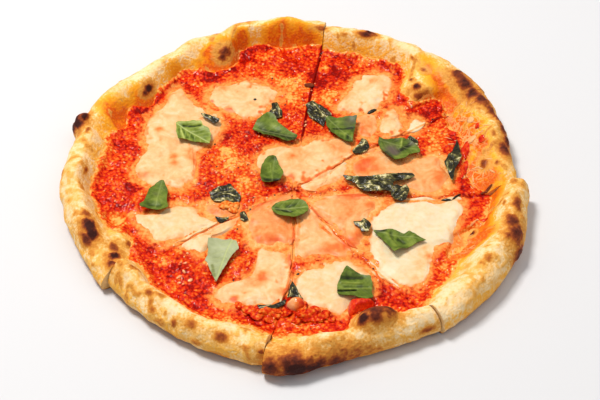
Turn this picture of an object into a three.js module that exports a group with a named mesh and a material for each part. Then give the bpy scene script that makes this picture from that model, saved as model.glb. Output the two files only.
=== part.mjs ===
// Margherita pizza, baked, then cut into six slices that still lie together.
//
// Millimetres, +Z up. The origin is on the table, under the middle of the pizza.
// Angles are in degrees, anticlockwise from +X, about the point where the cuts meet.
// Every layer is a closed solid of its own: dough, sauce, cheese, then basil on top.

import * as THREE from 'three';

// Driving dimensions.
const CUT_CENTRE = new THREE.Vector2(-1, -2); // where the six cuts meet
const SHIFT_TO_MIDDLE = -3; // along Y, brings the middle of the whole pizza over the origin
const CUT_WIDTH = 0.8; // gap that the wheel leaves between two slices
const CLEARANCE = 0.3; // gap between layers that touch
const BED_THICKNESS = 4; // dough under the sauce
const SAUCE_THICKNESS = 3.2; // at its thickest
const SAUCE_RELIEF = 1.1; // height of the pulp over the thin places
const SAUCE_EDGE = 0.7; // thickness where the sauce runs out at the crust
const CHEESE_THICKNESS = 2.6; // crown of a melted patch
const MOUND_EDGE = 0.8; // height of the edge round a patch or a lump
const CHEESE_DIMPLES = 0.2; // depth of the faint dimples in a patch
const LEAF_THICKNESS = 0.8;
const LEAF_RIPPLE = 1; // height of the ripples along the edge of a fresh leaf
const CRUST_CREST = 11; // from the outer edge in to the top of the crust
const CRUST_WAIST = 0.4; // height of the widest place, as a share of the crust's height
const CRUST_FOOT = 8; // from the outer edge in to where the underside meets the table
const CRUST_LUMPS = 2.1; // height of the uneven swells along the crust
const NOMINAL_RADIUS = 155;
const COLUMN_ANGLE = 3.2; // one column of faces every so many degrees
const SLACK = 1e-6; // for comparing lengths

// Each cut is straight between these radii, and bends a little at them.
const BEND_RADII = [30, 60, 93, 170];
const CUTS = {
  right: [-9.5, -5, -4, -0.4],
  backRight: [36.5, 37, 34, 33],
  back: [82, 82, 82, 80.9],
  left: [212.5, 213, 213.5, 214.6],
  front: [273, 270.5, 267.5, 262.4],
  frontRight: [307, 307.2, 307.5, 308.8],
};

// Rows of vertices from the middle out. Over the bed they are radii, then shares of the way to
// the toe of the crust. Over the crust and back under it they are shares of its width and foot.
const BED_RADII = [30, 60, 93];
const SAUCE_RADII = [15, 30, 45, 60, 76, 93];
const SAUCE_SHARES = [0.35, 0.7, 0.985];
const CRUST_ROWS = [1, 0.88, 0.74, 0.6, 0.48, 0.36, 0.25, 0.13, 0.05, 0.01, 0];
const FOOT_ROWS = [0.3, 0.7, 1];

// Rings of vertices on a topping, as shares of the way from its middle to its outline, and the
// number of vertices round each.
const CHEESE_RINGS = [1, 0.9, 0.6, 0];
const TOMATO_RINGS = [1, 0.85, 0.5, 0];
const COOKED_RINGS = [1, 0.55, 0];
const FRESH_RINGS = [1, 0.7, 0.35, 0];
const MOST_CHEESE_SIDES = 24;
const TOMATO_SIDES = 12;
const FRESH_SIDES = 15;

// The crust of each slice: [angle, outer radius, width of the crust, height of the crust].
// It is wide where a bubble of dough stands out over the bed.
const SLICES = [
  {
    name: 'slice_1', from: 'back', to: 'left', toTurn: 0,
    crust: [
      [81, 162, 22, 24], [92, 163.5, 22, 24], [104, 162.5, 22, 22], [111, 160, 38, 20],
      [117, 162, 38, 20], [124, 157.5, 22, 21], [132, 155.5, 26, 21], [140, 157.5, 30, 22],
      [150, 158.5, 28, 22], [155, 158.5, 30, 21], [159, 163.5, 33, 19], [164, 156, 30, 21],
      [180, 156.3, 27, 22], [190, 152.8, 28, 22], [200, 149.7, 38, 20], [208, 148.2, 38, 18],
      [214.5, 148, 34, 15],
    ],
  },
  {
    name: 'slice_2', from: 'left', to: 'front', toTurn: 0,
    crust: [
      [214.5, 143, 32, 19], [225, 142.8, 24, 19], [238, 143, 24, 20], [250, 144.7, 30, 20],
      [262.8, 147, 28, 19],
    ],
  },
  {
    name: 'slice_3', from: 'front', to: 'frontRight', toTurn: 0,
    crust: [
      [262.8, 153, 33, 17], [270, 153.5, 34, 19], [278, 148.5, 28, 20], [284, 146, 24, 20],
      [289, 145.8, 34, 21], [297, 146.5, 34, 21], [303, 148.5, 25, 20], [308.8, 151, 24, 18],
    ],
  },
  {
    name: 'slice_4', from: 'frontRight', to: 'right', toTurn: 360,
    crust: [
      [308.8, 153.5, 26, 20], [318, 155, 38, 22], [330, 158, 42, 23], [340, 159, 40, 23],
      [350, 158.6, 32, 23], [359.4, 158.5, 28, 24],
    ],
  },
  {
    name: 'slice_5', from: 'right', to: 'backRight', toTurn: 0,
    crust: [[-0.6, 153.5, 26, 16], [10, 153.6, 36, 19], [20, 157, 40, 20], [33, 162.5, 36, 20]],
  },
  {
    name: 'slice_6', from: 'backRight', to: 'back', toTurn: 0,
    crust: [
      [33, 163, 30, 20], [39, 164, 34, 20], [43.5, 165.5, 54, 19], [50, 165.6, 52, 19],
      [56, 163.5, 28, 21], [65, 161, 24, 22], [75, 158.5, 24, 22], [81, 160, 24, 22],
    ],
  },
];

// Bubbles that the oven raised in the crust: [x, y, radius, height].
const BLISTERS = [
  [84, 88, 19, 10], [-51, 127, 13, 7], [-103, 88, 10, 4], [50, -118, 16, 8],
  [-150, 57, 9, 5], [-108, -44, 13, 5], [-103, -80, 16, 4], [-2, -127, 12, 3],
  [124, 94, 14, 3], [140, 45, 15, 3], [-140, -46, 16, 3], [60, 135, 16, 3],
];

// Melted mozzarella: the outline of each patch, and how brown-orange the oil has stained it.
const CHEESE = {
  cheese_left: {
    oil: 0,
    outline: [
      [-81, 100], [-75, 90], [-66, 79], [-55, 72], [-49, 60], [-58, 44], [-66, 33], [-67, 18],
      [-69, 6], [-80, 0], [-97, 4], [-107, 14], [-107, 24], [-102, 36], [-102, 50], [-105, 60],
      [-98, 71], [-91, 82], [-88, 94],
    ],
  },
  cheese_back: {
    oil: 0,
    outline: [
      [-36, 104], [-22, 100], [-10, 95], [-12, 84], [-20, 72], [-28, 66], [-41, 70], [-51, 75],
      [-61, 83], [-57, 96], [-47, 101],
    ],
  },
  cheese_back_right: {
    oil: 0,
    outline: [
      [52, 111], [63, 112], [70, 106], [69, 96], [66, 87], [61, 82], [58, 74], [46, 72],
      [31, 73], [31, 82], [38, 92], [44, 103],
    ],
  },
  cheese_under_leaf: {
    oil: 0.5,
    outline: [[44, 68.5], [56, 69], [57.5, 58], [56, 48], [47, 48], [44, 56]],
  },
  cheese_by_bubble: {
    oil: 0.5,
    outline: [[61, 60], [63, 70], [69, 77], [75, 72], [77, 62], [76, 55], [70, 51], [62, 52]],
  },
  cheese_dot: {
    oil: 0,
    outline: [[80, 57], [81, 63], [86, 66], [91, 62], [88, 56], [84, 54]],
  },
  cheese_middle: {
    oil: 0.3,
    outline: [
      [-24, 30], [-14, 38], [4, 41], [20, 47], [34, 47], [41, 41], [41, 33.5], [28, 21.5],
      [14, 10.5], [5, 5], [-4, 8], [-12, 12], [-22, 16],
    ],
  },
  cheese_middle_strip: {
    oil: 0,
    outline: [[6, 1], [18, 9], [28, 16.5], [35.5, 22], [37, 16], [33, 8], [22, 2], [12, -3]],
  },
  cheese_right_oiled: {
    oil: 0.8,
    outline: [
      [40, 22], [47, 29], [58, 34], [72, 27], [86, 28], [98, 30], [104, 20], [103, 4],
      [98, -4], [84, -4], [70, 2], [52, 2], [44, 6], [40, 13],
    ],
  },
  cheese_right: {
    oil: 0,
    outline: [
      [62, -17], [72, -12], [86, -11.5], [100, -11.5], [112, -13], [112, -23], [107, -36],
      [108, -47], [96, -52], [90, -62], [87, -76], [79, -86], [70, -87], [61, -80],
      [54.5, -68], [48, -55], [51, -42], [53, -28],
    ],
  },
  cheese_front_oiled_right: {
    oil: 0.8,
    outline: [
      [12, -13], [28, -9], [46, -9], [58, -14], [50, -24], [47, -40], [44, -52], [41, -54],
      [30, -39], [20, -26],
    ],
  },
  cheese_front_oiled_middle: {
    oil: 0.7,
    outline: [
      [3.5, -12], [9, -18], [17, -29], [27, -43], [36, -55], [34, -60], [20, -59], [4, -63],
      [3, -48], [3.5, -30],
    ],
  },
  cheese_front_oiled_left: {
    oil: 0.8,
    outline: [
      [-27, -24], [-15, -14], [-4, -10], [-2, -30], [-2, -48], [-12, -50], [-24, -50],
      [-29, -38],
    ],
  },
  cheese_front: {
    oil: 0,
    outline: [
      [4, -76], [14, -69], [28, -65], [42, -68], [51, -78], [50, -92], [38, -98], [32, -108],
      [18, -104], [10, -99], [2, -90],
    ],
  },
  cheese_front_left: {
    oil: 0,
    outline: [
      [-22, -55], [-12, -54], [-5, -57], [-3.5, -66], [-4.5, -80], [-7, -92], [-12, -101],
      [-22, -103], [-36, -102], [-48, -100], [-50, -92], [-43, -85], [-30, -78], [-24, -68],
    ],
  },
  cheese_left_front: {
    oil: 0,
    outline: [
      [-107, -24], [-95, -24], [-80, -17], [-68, -17], [-61, -25], [-53, -31.5], [-62, -38],
      [-73, -45], [-86, -49], [-97, -39],
    ],
  },
  cheese_left_strip: {
    oil: 0.2,
    outline: [
      [-37, -28], [-48, -35], [-60, -43], [-72, -51.5], [-65, -56], [-58, -58], [-54, -48],
      [-46, -41], [-38, -34],
    ],
  },
  cheese_browned: {
    oil: 1,
    outline: [[-58, -16], [-48, -14], [-40, -16], [-40, -23.5], [-50, -26], [-57, -22]],
  },
};

// Soft lumps of tomato that stand out of the sauce: outline and height.
const TOMATO = {
  tomato_chunk: {
    height: 5.5,
    outline: [[36, -101], [44, -99.5], [52, -101], [49, -105], [41, -109], [36, -112]],
  },
  tomato_lump: { height: 6, outline: [[-4, -102], [1, -97.5], [7, -99], [8, -104], [2, -107]] },
};

// Cooked basil, dark and shrivelled, flat on the cheese: outline and height of its creases.
const COOKED_BASIL = {
  cooked_basil_right: {
    crease: 1.2,
    outline: [
      [114, 45], [115, 36], [114, 26], [110, 14], [107, 5], [104, 14], [104, 24], [109, 33],
    ],
  },
  cooked_basil_roll: {
    crease: 2.2,
    outline: [
      [35, 11], [49, 10], [61, 12], [74, 14], [83, 11.5], [80, 8], [71, 5], [63, -1],
      [54, -3], [45, -1], [40, 5],
    ],
  },
  cooked_basil_knot: {
    crease: 2,
    outline: [[67, -4], [72, -1], [78, 0], [79, -5], [76, -10], [71, -11.5], [67, -8]],
  },
  cooked_basil_left: {
    crease: 1.8,
    outline: [
      [-58, -5], [-53, -1], [-48, 3], [-43, 4.5], [-39, -1], [-35.5, -6], [-38, -12.5],
      [-46, -12], [-53, -12],
    ],
  },
  cooked_basil_left_tip: {
    crease: 0.8,
    outline: [[-51, -27.5], [-45, -28], [-42, -27], [-47, -31], [-50, -31.5]],
  },
  cooked_basil_centre: {
    crease: 0.8,
    outline: [[-36, -25], [-32, -24], [-30, -27], [-31, -31], [-35, -30]],
  },
  cooked_basil_back: {
    crease: 1.6,
    outline: [[-12, 84], [-8, 80], [-7, 73], [-11, 66], [-18, 67], [-19, 72], [-15, 77]],
  },
  cooked_basil_back_right: {
    crease: 1.8,
    outline: [[9, 83], [16, 82], [23, 77], [28, 70], [25, 63], [21, 60.5], [13, 66], [10, 73]],
  },
  cooked_basil_by_cut: {
    crease: 1.4,
    outline: [[41, 47], [47, 45], [54, 44], [53, 37], [47, 33], [43, 32], [42, 39]],
  },
  cooked_basil_far_left: {
    crease: 0.9,
    outline: [[-66, 68], [-59, 69], [-53, 65], [-52, 61], [-56, 60], [-60, 64]],
  },
  cooked_basil_speckled: {
    crease: 1,
    outline: [[41, -30], [46, -25], [50, -26], [51, -33], [50, -39], [45, -38], [41, -34]],
  },
  cooked_basil_front: {
    crease: 1.2,
    outline: [[0, -82], [3, -88], [6, -95], [0, -96], [-5, -97], [-3, -89]],
  },
  cooked_basil_front_tail: {
    crease: 0.8,
    outline: [
      [-24, -103.6], [-16, -104.4], [-8, -103.5], [-9, -107], [-15, -108], [-21, -106.5],
    ],
  },
  cooked_basil_corner: {
    crease: 1.4,
    outline: [[80, 50], [83, 53], [87, 49], [90, 44], [85, 42.5], [82, 45]],
  },
};

// Fresh basil, torn and laid on last: outline, the line it bends along, and how far it curls.
const FRESH_BASIL = {
  basil_left: {
    bend: 142, curl: 3,
    outline: [[-84, 61], [-74, 62], [-65, 61], [-58, 51], [-58, 40], [-66, 41], [-74, 44], [-82, 44]],
  },
  basil_back: {
    bend: 140, curl: 4,
    outline: [
      [-20, 70], [-14, 68], [-8, 58], [4, 49], [3, 45], [-3, 43], [-15, 48], [-30, 54], [-25, 62],
    ],
  },
  basil_back_right: {
    bend: 75, curl: 4,
    outline: [
      [22, 70], [26, 66], [34, 67], [43, 68], [45, 65], [41, 53], [40, 43], [30, 50], [24, 58],
    ],
  },
  basil_folded_right: {
    bend: 60, curl: 7,
    outline: [[58, 48], [67, 48], [76, 48], [82, 42], [88, 36], [80, 32], [70, 26], [60, 36]],
  },
  basil_middle: {
    bend: 95, curl: 3,
    outline: [[-13, 30], [-18, 23], [-22, 10], [-21, 5], [-15, 5], [-9, 6], [-7, 11], [-10, 22]],
  },
  basil_far_left: {
    bend: 95, curl: 3,
    outline: [[-90, 7], [-87, 6], [-85, -6], [-83, -21], [-93, -20], [-102, -17], [-98, -8], [-95, 2]],
  },
  basil_whole: {
    bend: 5, curl: 4,
    outline: [[-16, -20], [-8, -14], [1, -12], [8, -13], [11, -19], [6, -27], [-2, -29], [-10, -26]],
  },
  basil_upturned: {
    bend: 70, curl: 5,
    outline: [[-55, -50], [-45, -46], [-36, -50], [-37, -58], [-43, -68], [-49, -81], [-57, -68]],
  },
  basil_right: {
    bend: 160, curl: 4,
    outline: [[52, -38], [64, -37], [73, -40], [77, -38], [88, -46], [77, -53], [66, -58], [60, -50]],
  },
  basil_folded_front: {
    bend: 0, curl: 4,
    outline: [[35, -70], [42, -75], [51, -79], [52, -86], [50, -94], [39, -93], [28, -91], [30, -81]],
  },
};

const COLOURS = {
  crust: '#e3b67c', sauce: '#d03a1c', cheese: '#f2dfc2', oil: '#f0a45a', tomato: '#d8301c',
  cookedBasil: '#2b3826', freshBasil: '#5b8a3b',
};

// ---------------------------------------------------------------- numbers and outlines

const radians = THREE.MathUtils.degToRad;
const lerp = THREE.MathUtils.lerp;

// A column of a table of rows at x, the table's first column. Each stretch between two rows is
// eased, so that there are no corners, and the table is level past its ends.
function easedAlong(rows, x, column) {
  const next = rows.findIndex((row) => row[0] > x);
  if (next < 0) return rows[rows.length - 1][column];
  if (next === 0) return rows[0][column];
  const [before, after] = [rows[next - 1], rows[next]];
  const share = THREE.MathUtils.smoothstep(x, before[0], after[0]);
  return lerp(before[column], after[column], share);
}

function fromCentre(angle, radius) {
  const turn = radians(angle);
  return new THREE.Vector2(Math.cos(turn), Math.sin(turn)).multiplyScalar(radius).add(CUT_CENTRE);
}

function lift(point, height) {
  return new THREE.Vector3(point.x, point.y, height);
}

// A smooth closed outline through the given points, as evenly spaced points, anticlockwise.
function smoothOutline(points, count) {
  const corners = points.map(([x, y]) => new THREE.Vector3(x, y, 0));
  const curve = new THREE.CatmullRomCurve3(corners, true, 'centripetal');
  const outline = curve.getSpacedPoints(count).slice(0, count)
    .map((p) => new THREE.Vector2(p.x, p.y));
  return THREE.ShapeUtils.isClockWise(outline) ? outline.reverse() : outline;
}

function middleOf(outline) {
  const sum = outline.reduce((total, point) => total.add(point), new THREE.Vector2());
  return sum.divideScalar(outline.length);
}

function isInside(point, outline) {
  let inside = false;
  outline.forEach((a, i) => {
    const b = outline[(i + 1) % outline.length];
    const crosses = (a.y > point.y) !== (b.y > point.y);
    if (crosses && point.x < a.x + ((point.y - a.y) * (b.x - a.x)) / (b.y - a.y)) inside = !inside;
  });
  return inside;
}

// ---------------------------------------------------------------- closed surfaces

// A body collected triangle by triangle; a triangle with two equal corners is left out.
class Shell {
  constructor() {
    this.corners = [];
  }

  triangle(a, b, c) {
    const isPoint = a.equals(b) || b.equals(c) || c.equals(a);
    if (!isPoint) this.corners.push(a, b, c);
  }

  quad(a, b, c, d) {
    this.triangle(a, b, c);
    this.triangle(a, c, d);
  }

  mesh(name, colour, roughness) {
    const geometry = new THREE.BufferGeometry().setFromPoints(this.corners);
    geometry.computeVertexNormals();
    const material = new THREE.MeshStandardMaterial({ color: colour, roughness, metalness: 0 });
    const mesh = new THREE.Mesh(geometry, material);
    mesh.name = name;
    return mesh;
  }
}

// Closes one end of a loft. It is flat only between two bends of the cut, so that each such
// stretch of the section is filled by itself.
function capEnd(shell, section, isLast) {
  const reach = section.map((p) => Math.hypot(p.x - CUT_CENTRE.x, p.y - CUT_CENTRE.y));
  BEND_RADII.forEach((outer, bend) => {
    const inner = bend === 0 ? 0 : BEND_RADII[bend - 1];
    const within = section.map((_, i) => i)
      .filter((i) => reach[i] > inner - SLACK && reach[i] < outer + SLACK);
    const flat = within.map((i) => new THREE.Vector2(reach[i], section[i].z));
    for (const face of THREE.ShapeUtils.triangulateShape(flat, [])) {
      const [a, b, c] = face.map((i) => section[within[i]]);
      if (isLast) shell.triangle(a, c, b);
      else shell.triangle(a, b, c);
    }
  });
}

// Joins closed sections side by side, and closes both ends.
function loftSections(sections) {
  const shell = new Shell();
  const count = sections[0].length;
  for (let j = 0; j + 1 < sections.length; j += 1) {
    for (let i = 0; i < count; i += 1) {
      const next = (i + 1) % count;
      shell.quad(sections[j][i], sections[j][next], sections[j + 1][next], sections[j + 1][i]);
    }
  }
  capEnd(shell, sections[0], false);
  capEnd(shell, sections[sections.length - 1], true);
  return shell;
}

// Rings of points that shrink from an outline towards its middle.
function ringsIn(outline, shares, height) {
  const middle = middleOf(outline);
  return shares.map((share) => outline.map((edge) => {
    const point = new THREE.Vector2().lerpVectors(middle, edge, share);
    return lift(point, height(point, share));
  }));
}

// Rings joined into a sheet that faces up.
function addSheet(shell, rings) {
  for (let k = 0; k + 1 < rings.length; k += 1) {
    const [outer, inner] = [rings[k], rings[k + 1]];
    outer.forEach((corner, i) => {
      const next = (i + 1) % outer.length;
      shell.quad(corner, outer[next], inner[next], inner[i]);
    });
  }
}

function addWall(shell, lower, upper) {
  lower.forEach((corner, i) => {
    const next = (i + 1) % lower.length;
    shell.quad(corner, lower[next], upper[next], upper[i]);
  });
}

// A mound on a level base.
function moundOn(outline, shares, base, height) {
  const shell = new Shell();
  const rings = ringsIn(outline, shares, height);
  const foot = outline.map((point) => lift(point, base));
  addSheet(shell, rings);
  addWall(shell, foot, rings[0]);
  const middle = lift(middleOf(outline), base);
  foot.forEach((corner, i) => shell.triangle(corner, middle, foot[(i + 1) % foot.length]));
  return shell;
}

// A thin sheet whose two faces are split into triangles alike.
function thinSheet(outline, shares, thickness, height) {
  const shell = new Shell();
  const upper = ringsIn(outline, shares, (point, share) => height(point, share) + thickness);
  const lower = ringsIn(outline, shares, height);
  addSheet(shell, upper);
  addWall(shell, lower[0], upper[0]);
  const under = new Shell();
  addSheet(under, lower);
  shell.corners.push(...under.corners.reverse());
  return shell;
}

// ---------------------------------------------------------------- slices of dough

// The angle of one side of a slice where its cut bends, moved off the cut's line by an offset.
function sideAngle(slice, side, bend, radius, offset) {
  const aside = THREE.MathUtils.radToDeg(Math.asin(Math.min(1, offset / radius)));
  const turn = side === 'to' ? slice.toTurn - aside : aside;
  return CUTS[slice[side]][bend] + turn;
}

// The angle and radius of the point where one side of a slice reaches a radius.
function onSide(slice, side, radius, offset) {
  const bend = BEND_RADII.findIndex((bendRadius) => bendRadius >= radius);
  if (bend === 0) return [sideAngle(slice, side, 0, radius, offset), radius];
  const [inner, outer] = [BEND_RADII[bend - 1], BEND_RADII[bend]];
  const start = sideAngle(slice, side, bend - 1, inner, offset);
  const turned = radians(sideAngle(slice, side, bend, outer, offset) - start);
  const share = (radius - inner) / (outer - inner);
  const ahead = lerp(inner, outer * Math.cos(turned), share);
  const aside = share * outer * Math.sin(turned);
  const angle = start + THREE.MathUtils.radToDeg(Math.atan2(aside, ahead));
  return [angle, Math.hypot(ahead, aside)];
}

function pointInSlice(slice, share, radius, offset) {
  const [startAngle, startRadius] = onSide(slice, 'from', radius, offset);
  const [endAngle, endRadius] = onSide(slice, 'to', radius, offset);
  return fromCentre(lerp(startAngle, endAngle, share), lerp(startRadius, endRadius, share));
}

function anglesAt(slice, radius) {
  return ['from', 'to'].map((side) => onSide(slice, side, radius, 0)[0]);
}

// The crust where a share of the way round the slice falls.
function crustAt(slice, share) {
  const [start, end] = anglesAt(slice, NOMINAL_RADIUS);
  const [radius, width, height] = [1, 2, 3].map(
    (column) => easedAlong(slice.crust, lerp(start, end, share), column));
  return { radius, width, height, toe: radius - width };
}

// Long uneven swells, from -1 to 1.
function swell(x, y) {
  const alongX = Math.sin(x / 6.3 + 1.9 * Math.sin(y / 19));
  const alongY = Math.sin(y / 5.4 + 1.7 * Math.sin(x / 15));
  return (alongX + alongY) / 2;
}

// Height of the top at a depth in from the outer edge: a round outside up to the crest, then a
// slope down to the bed, with swells and bubbles that fade out at both ends.
function crustTop(crust, depth, point) {
  const waist = CRUST_WAIST * crust.height;
  if (depth <= 0) return waist;
  const isOutside = depth < CRUST_CREST;
  const outside = Math.sqrt(1 - (1 - Math.min(1, depth / CRUST_CREST)) ** 2);
  const inside = (depth - CRUST_CREST) / (crust.width - CRUST_CREST);
  const plain = isOutside
    ? lerp(waist, crust.height, outside)
    : lerp(BED_THICKNESS, crust.height, 0.5 + 0.5 * Math.cos(Math.PI * Math.min(1, inside)));
  const fade = Math.min(1, (4 * depth) / crust.width, (4 * (crust.width - depth)) / crust.width);
  return plain + fade * (CRUST_LUMPS * swell(point.x, point.y) + blisterHeight(point));
}

function blisterHeight(point) {
  return BLISTERS.reduce((sum, [x, y, radius, height]) => {
    const share = Math.hypot(point.x - x, point.y - y) / radius;
    return share < 1 ? sum + height * (0.5 + 0.5 * Math.cos(Math.PI * share)) : sum;
  }, 0);
}

// Height of the underside, rounded up from the table to the widest place.
function crustUnderside(crust, depth) {
  const share = 1 - depth / CRUST_FOOT;
  return CRUST_WAIST * crust.height * (1 - Math.sqrt(1 - share ** 2));
}

// The tip of a wedge lies where its two offset sides cross.
function tipOf(slice, offset) {
  const [start, end] = anglesAt(slice, BEND_RADII[0]);
  const reach = offset / Math.sin(radians((end - start) / 2));
  return fromCentre((start + end) / 2, reach);
}

function columnsOf(slice) {
  const [start, end] = anglesAt(slice, NOMINAL_RADIUS);
  return Math.round((end - start) / COLUMN_ANGLE);
}

function makeDough(slice) {
  const offset = CUT_WIDTH / 2;
  const tip = tipOf(slice, offset);
  const columns = columnsOf(slice);
  const sections = [];
  for (let j = 0; j <= columns; j += 1) {
    const share = j / columns;
    const crust = crustAt(slice, share);
    const at = (radius) => pointInSlice(slice, share, radius, offset);
    const section = [lift(tip, 0), lift(tip, BED_THICKNESS)];
    BED_RADII.forEach((radius) => section.push(lift(at(radius), BED_THICKNESS)));
    CRUST_ROWS.forEach((row) => {
      const depth = row * crust.width;
      const point = at(crust.radius - depth);
      section.push(lift(point, crustTop(crust, depth, point)));
    });
    FOOT_ROWS.forEach((row) => {
      const depth = row * CRUST_FOOT;
      section.push(lift(at(crust.radius - depth), crustUnderside(crust, depth)));
    });
    BED_RADII.toReversed().forEach((radius) => section.push(lift(at(radius), 0)));
    sections.push(section);
  }
  return loftSections(sections).mesh(slice.name, COLOURS.crust, 0.8);
}

// ---------------------------------------------------------------- sauce

// Lumps of pulp, from 0 to 1.
function pulp(x, y) {
  const alongX = Math.sin(x / 3.1 + 2.3 * Math.sin(y / 11));
  const alongY = Math.sin(y / 2.7 + 2.1 * Math.sin(x / 9));
  return (2 + alongX + alongY) / 4;
}

// A sheet on the bed of one slice, level underneath, with a pulpy top that thins at the crust.
function makeSauce(slice) {
  const offset = CUT_WIDTH / 2 + CLEARANCE;
  const floor = BED_THICKNESS + CLEARANCE;
  const tip = tipOf(slice, offset);
  const columns = columnsOf(slice);
  const sections = [];
  for (let j = 0; j <= columns; j += 1) {
    const share = j / columns;
    const { toe } = crustAt(slice, share);
    const reach = toe - SAUCE_RADII[SAUCE_RADII.length - 1];
    const radii = [...SAUCE_RADII, ...SAUCE_SHARES.map((row) => toe - (1 - row) * reach)];
    const points = radii.map((radius) => pointInSlice(slice, share, radius, offset));
    const tops = points.map((point) => {
      const relief = SAUCE_RELIEF * (1 - pulp(point.x, point.y));
      return lift(point, floor + SAUCE_THICKNESS - relief);
    });
    const edge = points[points.length - 1];
    tops[tops.length - 1] = lift(edge, floor + SAUCE_EDGE);
    const floors = BED_RADII.map((radius) => pointInSlice(slice, share, radius, offset));
    sections.push([
      lift(tip, floor), lift(tip, floor + SAUCE_THICKNESS - SAUCE_RELIEF), ...tops,
      lift(edge, floor), ...floors.toReversed().map((point) => lift(point, floor)),
    ]);
  }
  return loftSections(sections).mesh(slice.name.replace('slice', 'sauce'), COLOURS.sauce, 0.3);
}

// ---------------------------------------------------------------- toppings

const sauceTop = BED_THICKNESS + CLEARANCE + SAUCE_THICKNESS;
const laid = []; // outline and top of each topping so far

// A topping lies on the highest thing that its outline covers.
function restingHeight(outline) {
  const middle = middleOf(outline);
  const probes = [1, 0.7, 0.4, 0].flatMap((share) => outline.map(
    (edge) => new THREE.Vector2().lerpVectors(middle, edge, share)));
  const under = laid.filter((piece) => probes.some((probe) => isInside(probe, piece.outline))
    || piece.outline.some((corner) => isInside(corner, outline)));
  return Math.max(sauceTop, ...under.map((piece) => piece.top)) + CLEARANCE;
}

// Notes a finished topping, so that the next ones can lie on it.
function lay(name, outline, shell, colour, roughness) {
  laid.push({ outline, top: Math.max(...shell.corners.map((corner) => corner.z)) });
  return shell.mesh(name, colour, roughness);
}

// A melted patch with a soft edge, a low crown and faint dimples.
function makeCheese([name, { outline, oil }]) {
  const smooth = smoothOutline(outline, Math.min(MOST_CHEESE_SIDES, outline.length + 9));
  const colour = new THREE.Color(COLOURS.cheese).lerp(new THREE.Color(COLOURS.oil), oil);
  const base = restingHeight(smooth);
  const shell = moundOn(smooth, CHEESE_RINGS, base, (point, share) => {
    const crown = (CHEESE_THICKNESS - MOUND_EDGE) * Math.sqrt(1 - share ** 2);
    const dimple = swell(3 * point.x, 3 * point.y) * (1 - share);
    return base + MOUND_EDGE + crown + CHEESE_DIMPLES * dimple;
  });
  return lay(name, smooth, shell, colour, 0.35);
}

// A round-backed lump of tomato.
function makeTomato([name, { outline, height }]) {
  const smooth = smoothOutline(outline, TOMATO_SIDES);
  const base = restingHeight(smooth);
  const shell = moundOn(smooth, TOMATO_RINGS, base, (point, share) => (
    base + lerp(MOUND_EDGE, height, Math.sqrt(1 - share ** 2))));
  return lay(name, smooth, shell, COLOURS.tomato, 0.25);
}

// A shrivelled leaf: a thin sheet whose creases run across it.
function makeCookedBasil([name, { outline, crease }]) {
  const smooth = smoothOutline(outline, outline.length + 3);
  const base = restingHeight(smooth);
  const shell = thinSheet(smooth, COOKED_RINGS, LEAF_THICKNESS, (point) => {
    const wave = 0.5 + 0.5 * Math.sin(point.x / 1.6 + point.y / 2.3);
    return base + crease * wave;
  });
  return lay(name, smooth, shell, COLOURS.cookedBasil, 0.35);
}

// A torn leaf that curls up on both sides of the line it bends along, with a rippled edge.
function makeFreshBasil([name, { outline, bend, curl }]) {
  const smooth = smoothOutline(outline, FRESH_SIDES);
  const base = restingHeight(smooth);
  const middle = middleOf(smooth);
  const across = fromCentre(bend + 90, 1).sub(CUT_CENTRE);
  const asideOf = (point) => Math.abs(point.clone().sub(middle).dot(across));
  const widest = Math.max(...smooth.map(asideOf));
  const shell = thinSheet(smooth, FRESH_RINGS, LEAF_THICKNESS, (point, share) => {
    const ripple = 0.5 + 0.5 * Math.sin(point.x / 2.9) * Math.cos(point.y / 3.7);
    return base + curl * (asideOf(point) / widest) ** 2 + LEAF_RIPPLE * share * ripple;
  });
  return lay(name, smooth, shell, COLOURS.freshBasil, 0.5);
}

// ---------------------------------------------------------------- the pizza

const pizza = new THREE.Group();
pizza.name = 'margherita_pizza';
pizza.position.y = SHIFT_TO_MIDDLE;
pizza.add(
  ...SLICES.map(makeDough),
  ...SLICES.map(makeSauce),
  ...Object.entries(CHEESE).map(makeCheese),
  ...Object.entries(TOMATO).map(makeTomato),
  ...Object.entries(COOKED_BASIL).map(makeCookedBasil),
  ...Object.entries(FRESH_BASIL).map(makeFreshBasil),
);

export default pizza;
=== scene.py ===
"""Margherita pizza, baked, then cut into six slices that still lie together.

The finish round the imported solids: dough, sauce, cheese, tomato and basil, each made again as a
finer mesh in its own solid's place. Lengths are millimetres and angles are degrees until a mesh
is made, in metres, +Z up. Angles turn anticlockwise from +X about the point where the cuts meet.
"""

import bpy
import numpy as np
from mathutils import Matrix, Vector


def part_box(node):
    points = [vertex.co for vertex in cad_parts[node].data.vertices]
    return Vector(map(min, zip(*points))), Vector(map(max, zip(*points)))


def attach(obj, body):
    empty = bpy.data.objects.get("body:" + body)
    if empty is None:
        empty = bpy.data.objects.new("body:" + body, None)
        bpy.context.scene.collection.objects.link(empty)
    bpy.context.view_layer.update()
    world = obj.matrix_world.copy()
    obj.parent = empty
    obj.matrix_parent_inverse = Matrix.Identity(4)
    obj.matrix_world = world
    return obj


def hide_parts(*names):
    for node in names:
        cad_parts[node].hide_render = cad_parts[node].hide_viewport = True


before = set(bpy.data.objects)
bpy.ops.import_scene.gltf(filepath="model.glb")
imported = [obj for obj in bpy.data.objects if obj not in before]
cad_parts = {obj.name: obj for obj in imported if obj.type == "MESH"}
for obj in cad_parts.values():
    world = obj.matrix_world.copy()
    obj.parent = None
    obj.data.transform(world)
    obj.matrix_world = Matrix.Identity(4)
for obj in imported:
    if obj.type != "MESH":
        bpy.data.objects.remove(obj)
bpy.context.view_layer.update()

# ---------------------------------------------------------------- driving dimensions

MM = 0.001  # metres in a millimetre

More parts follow.
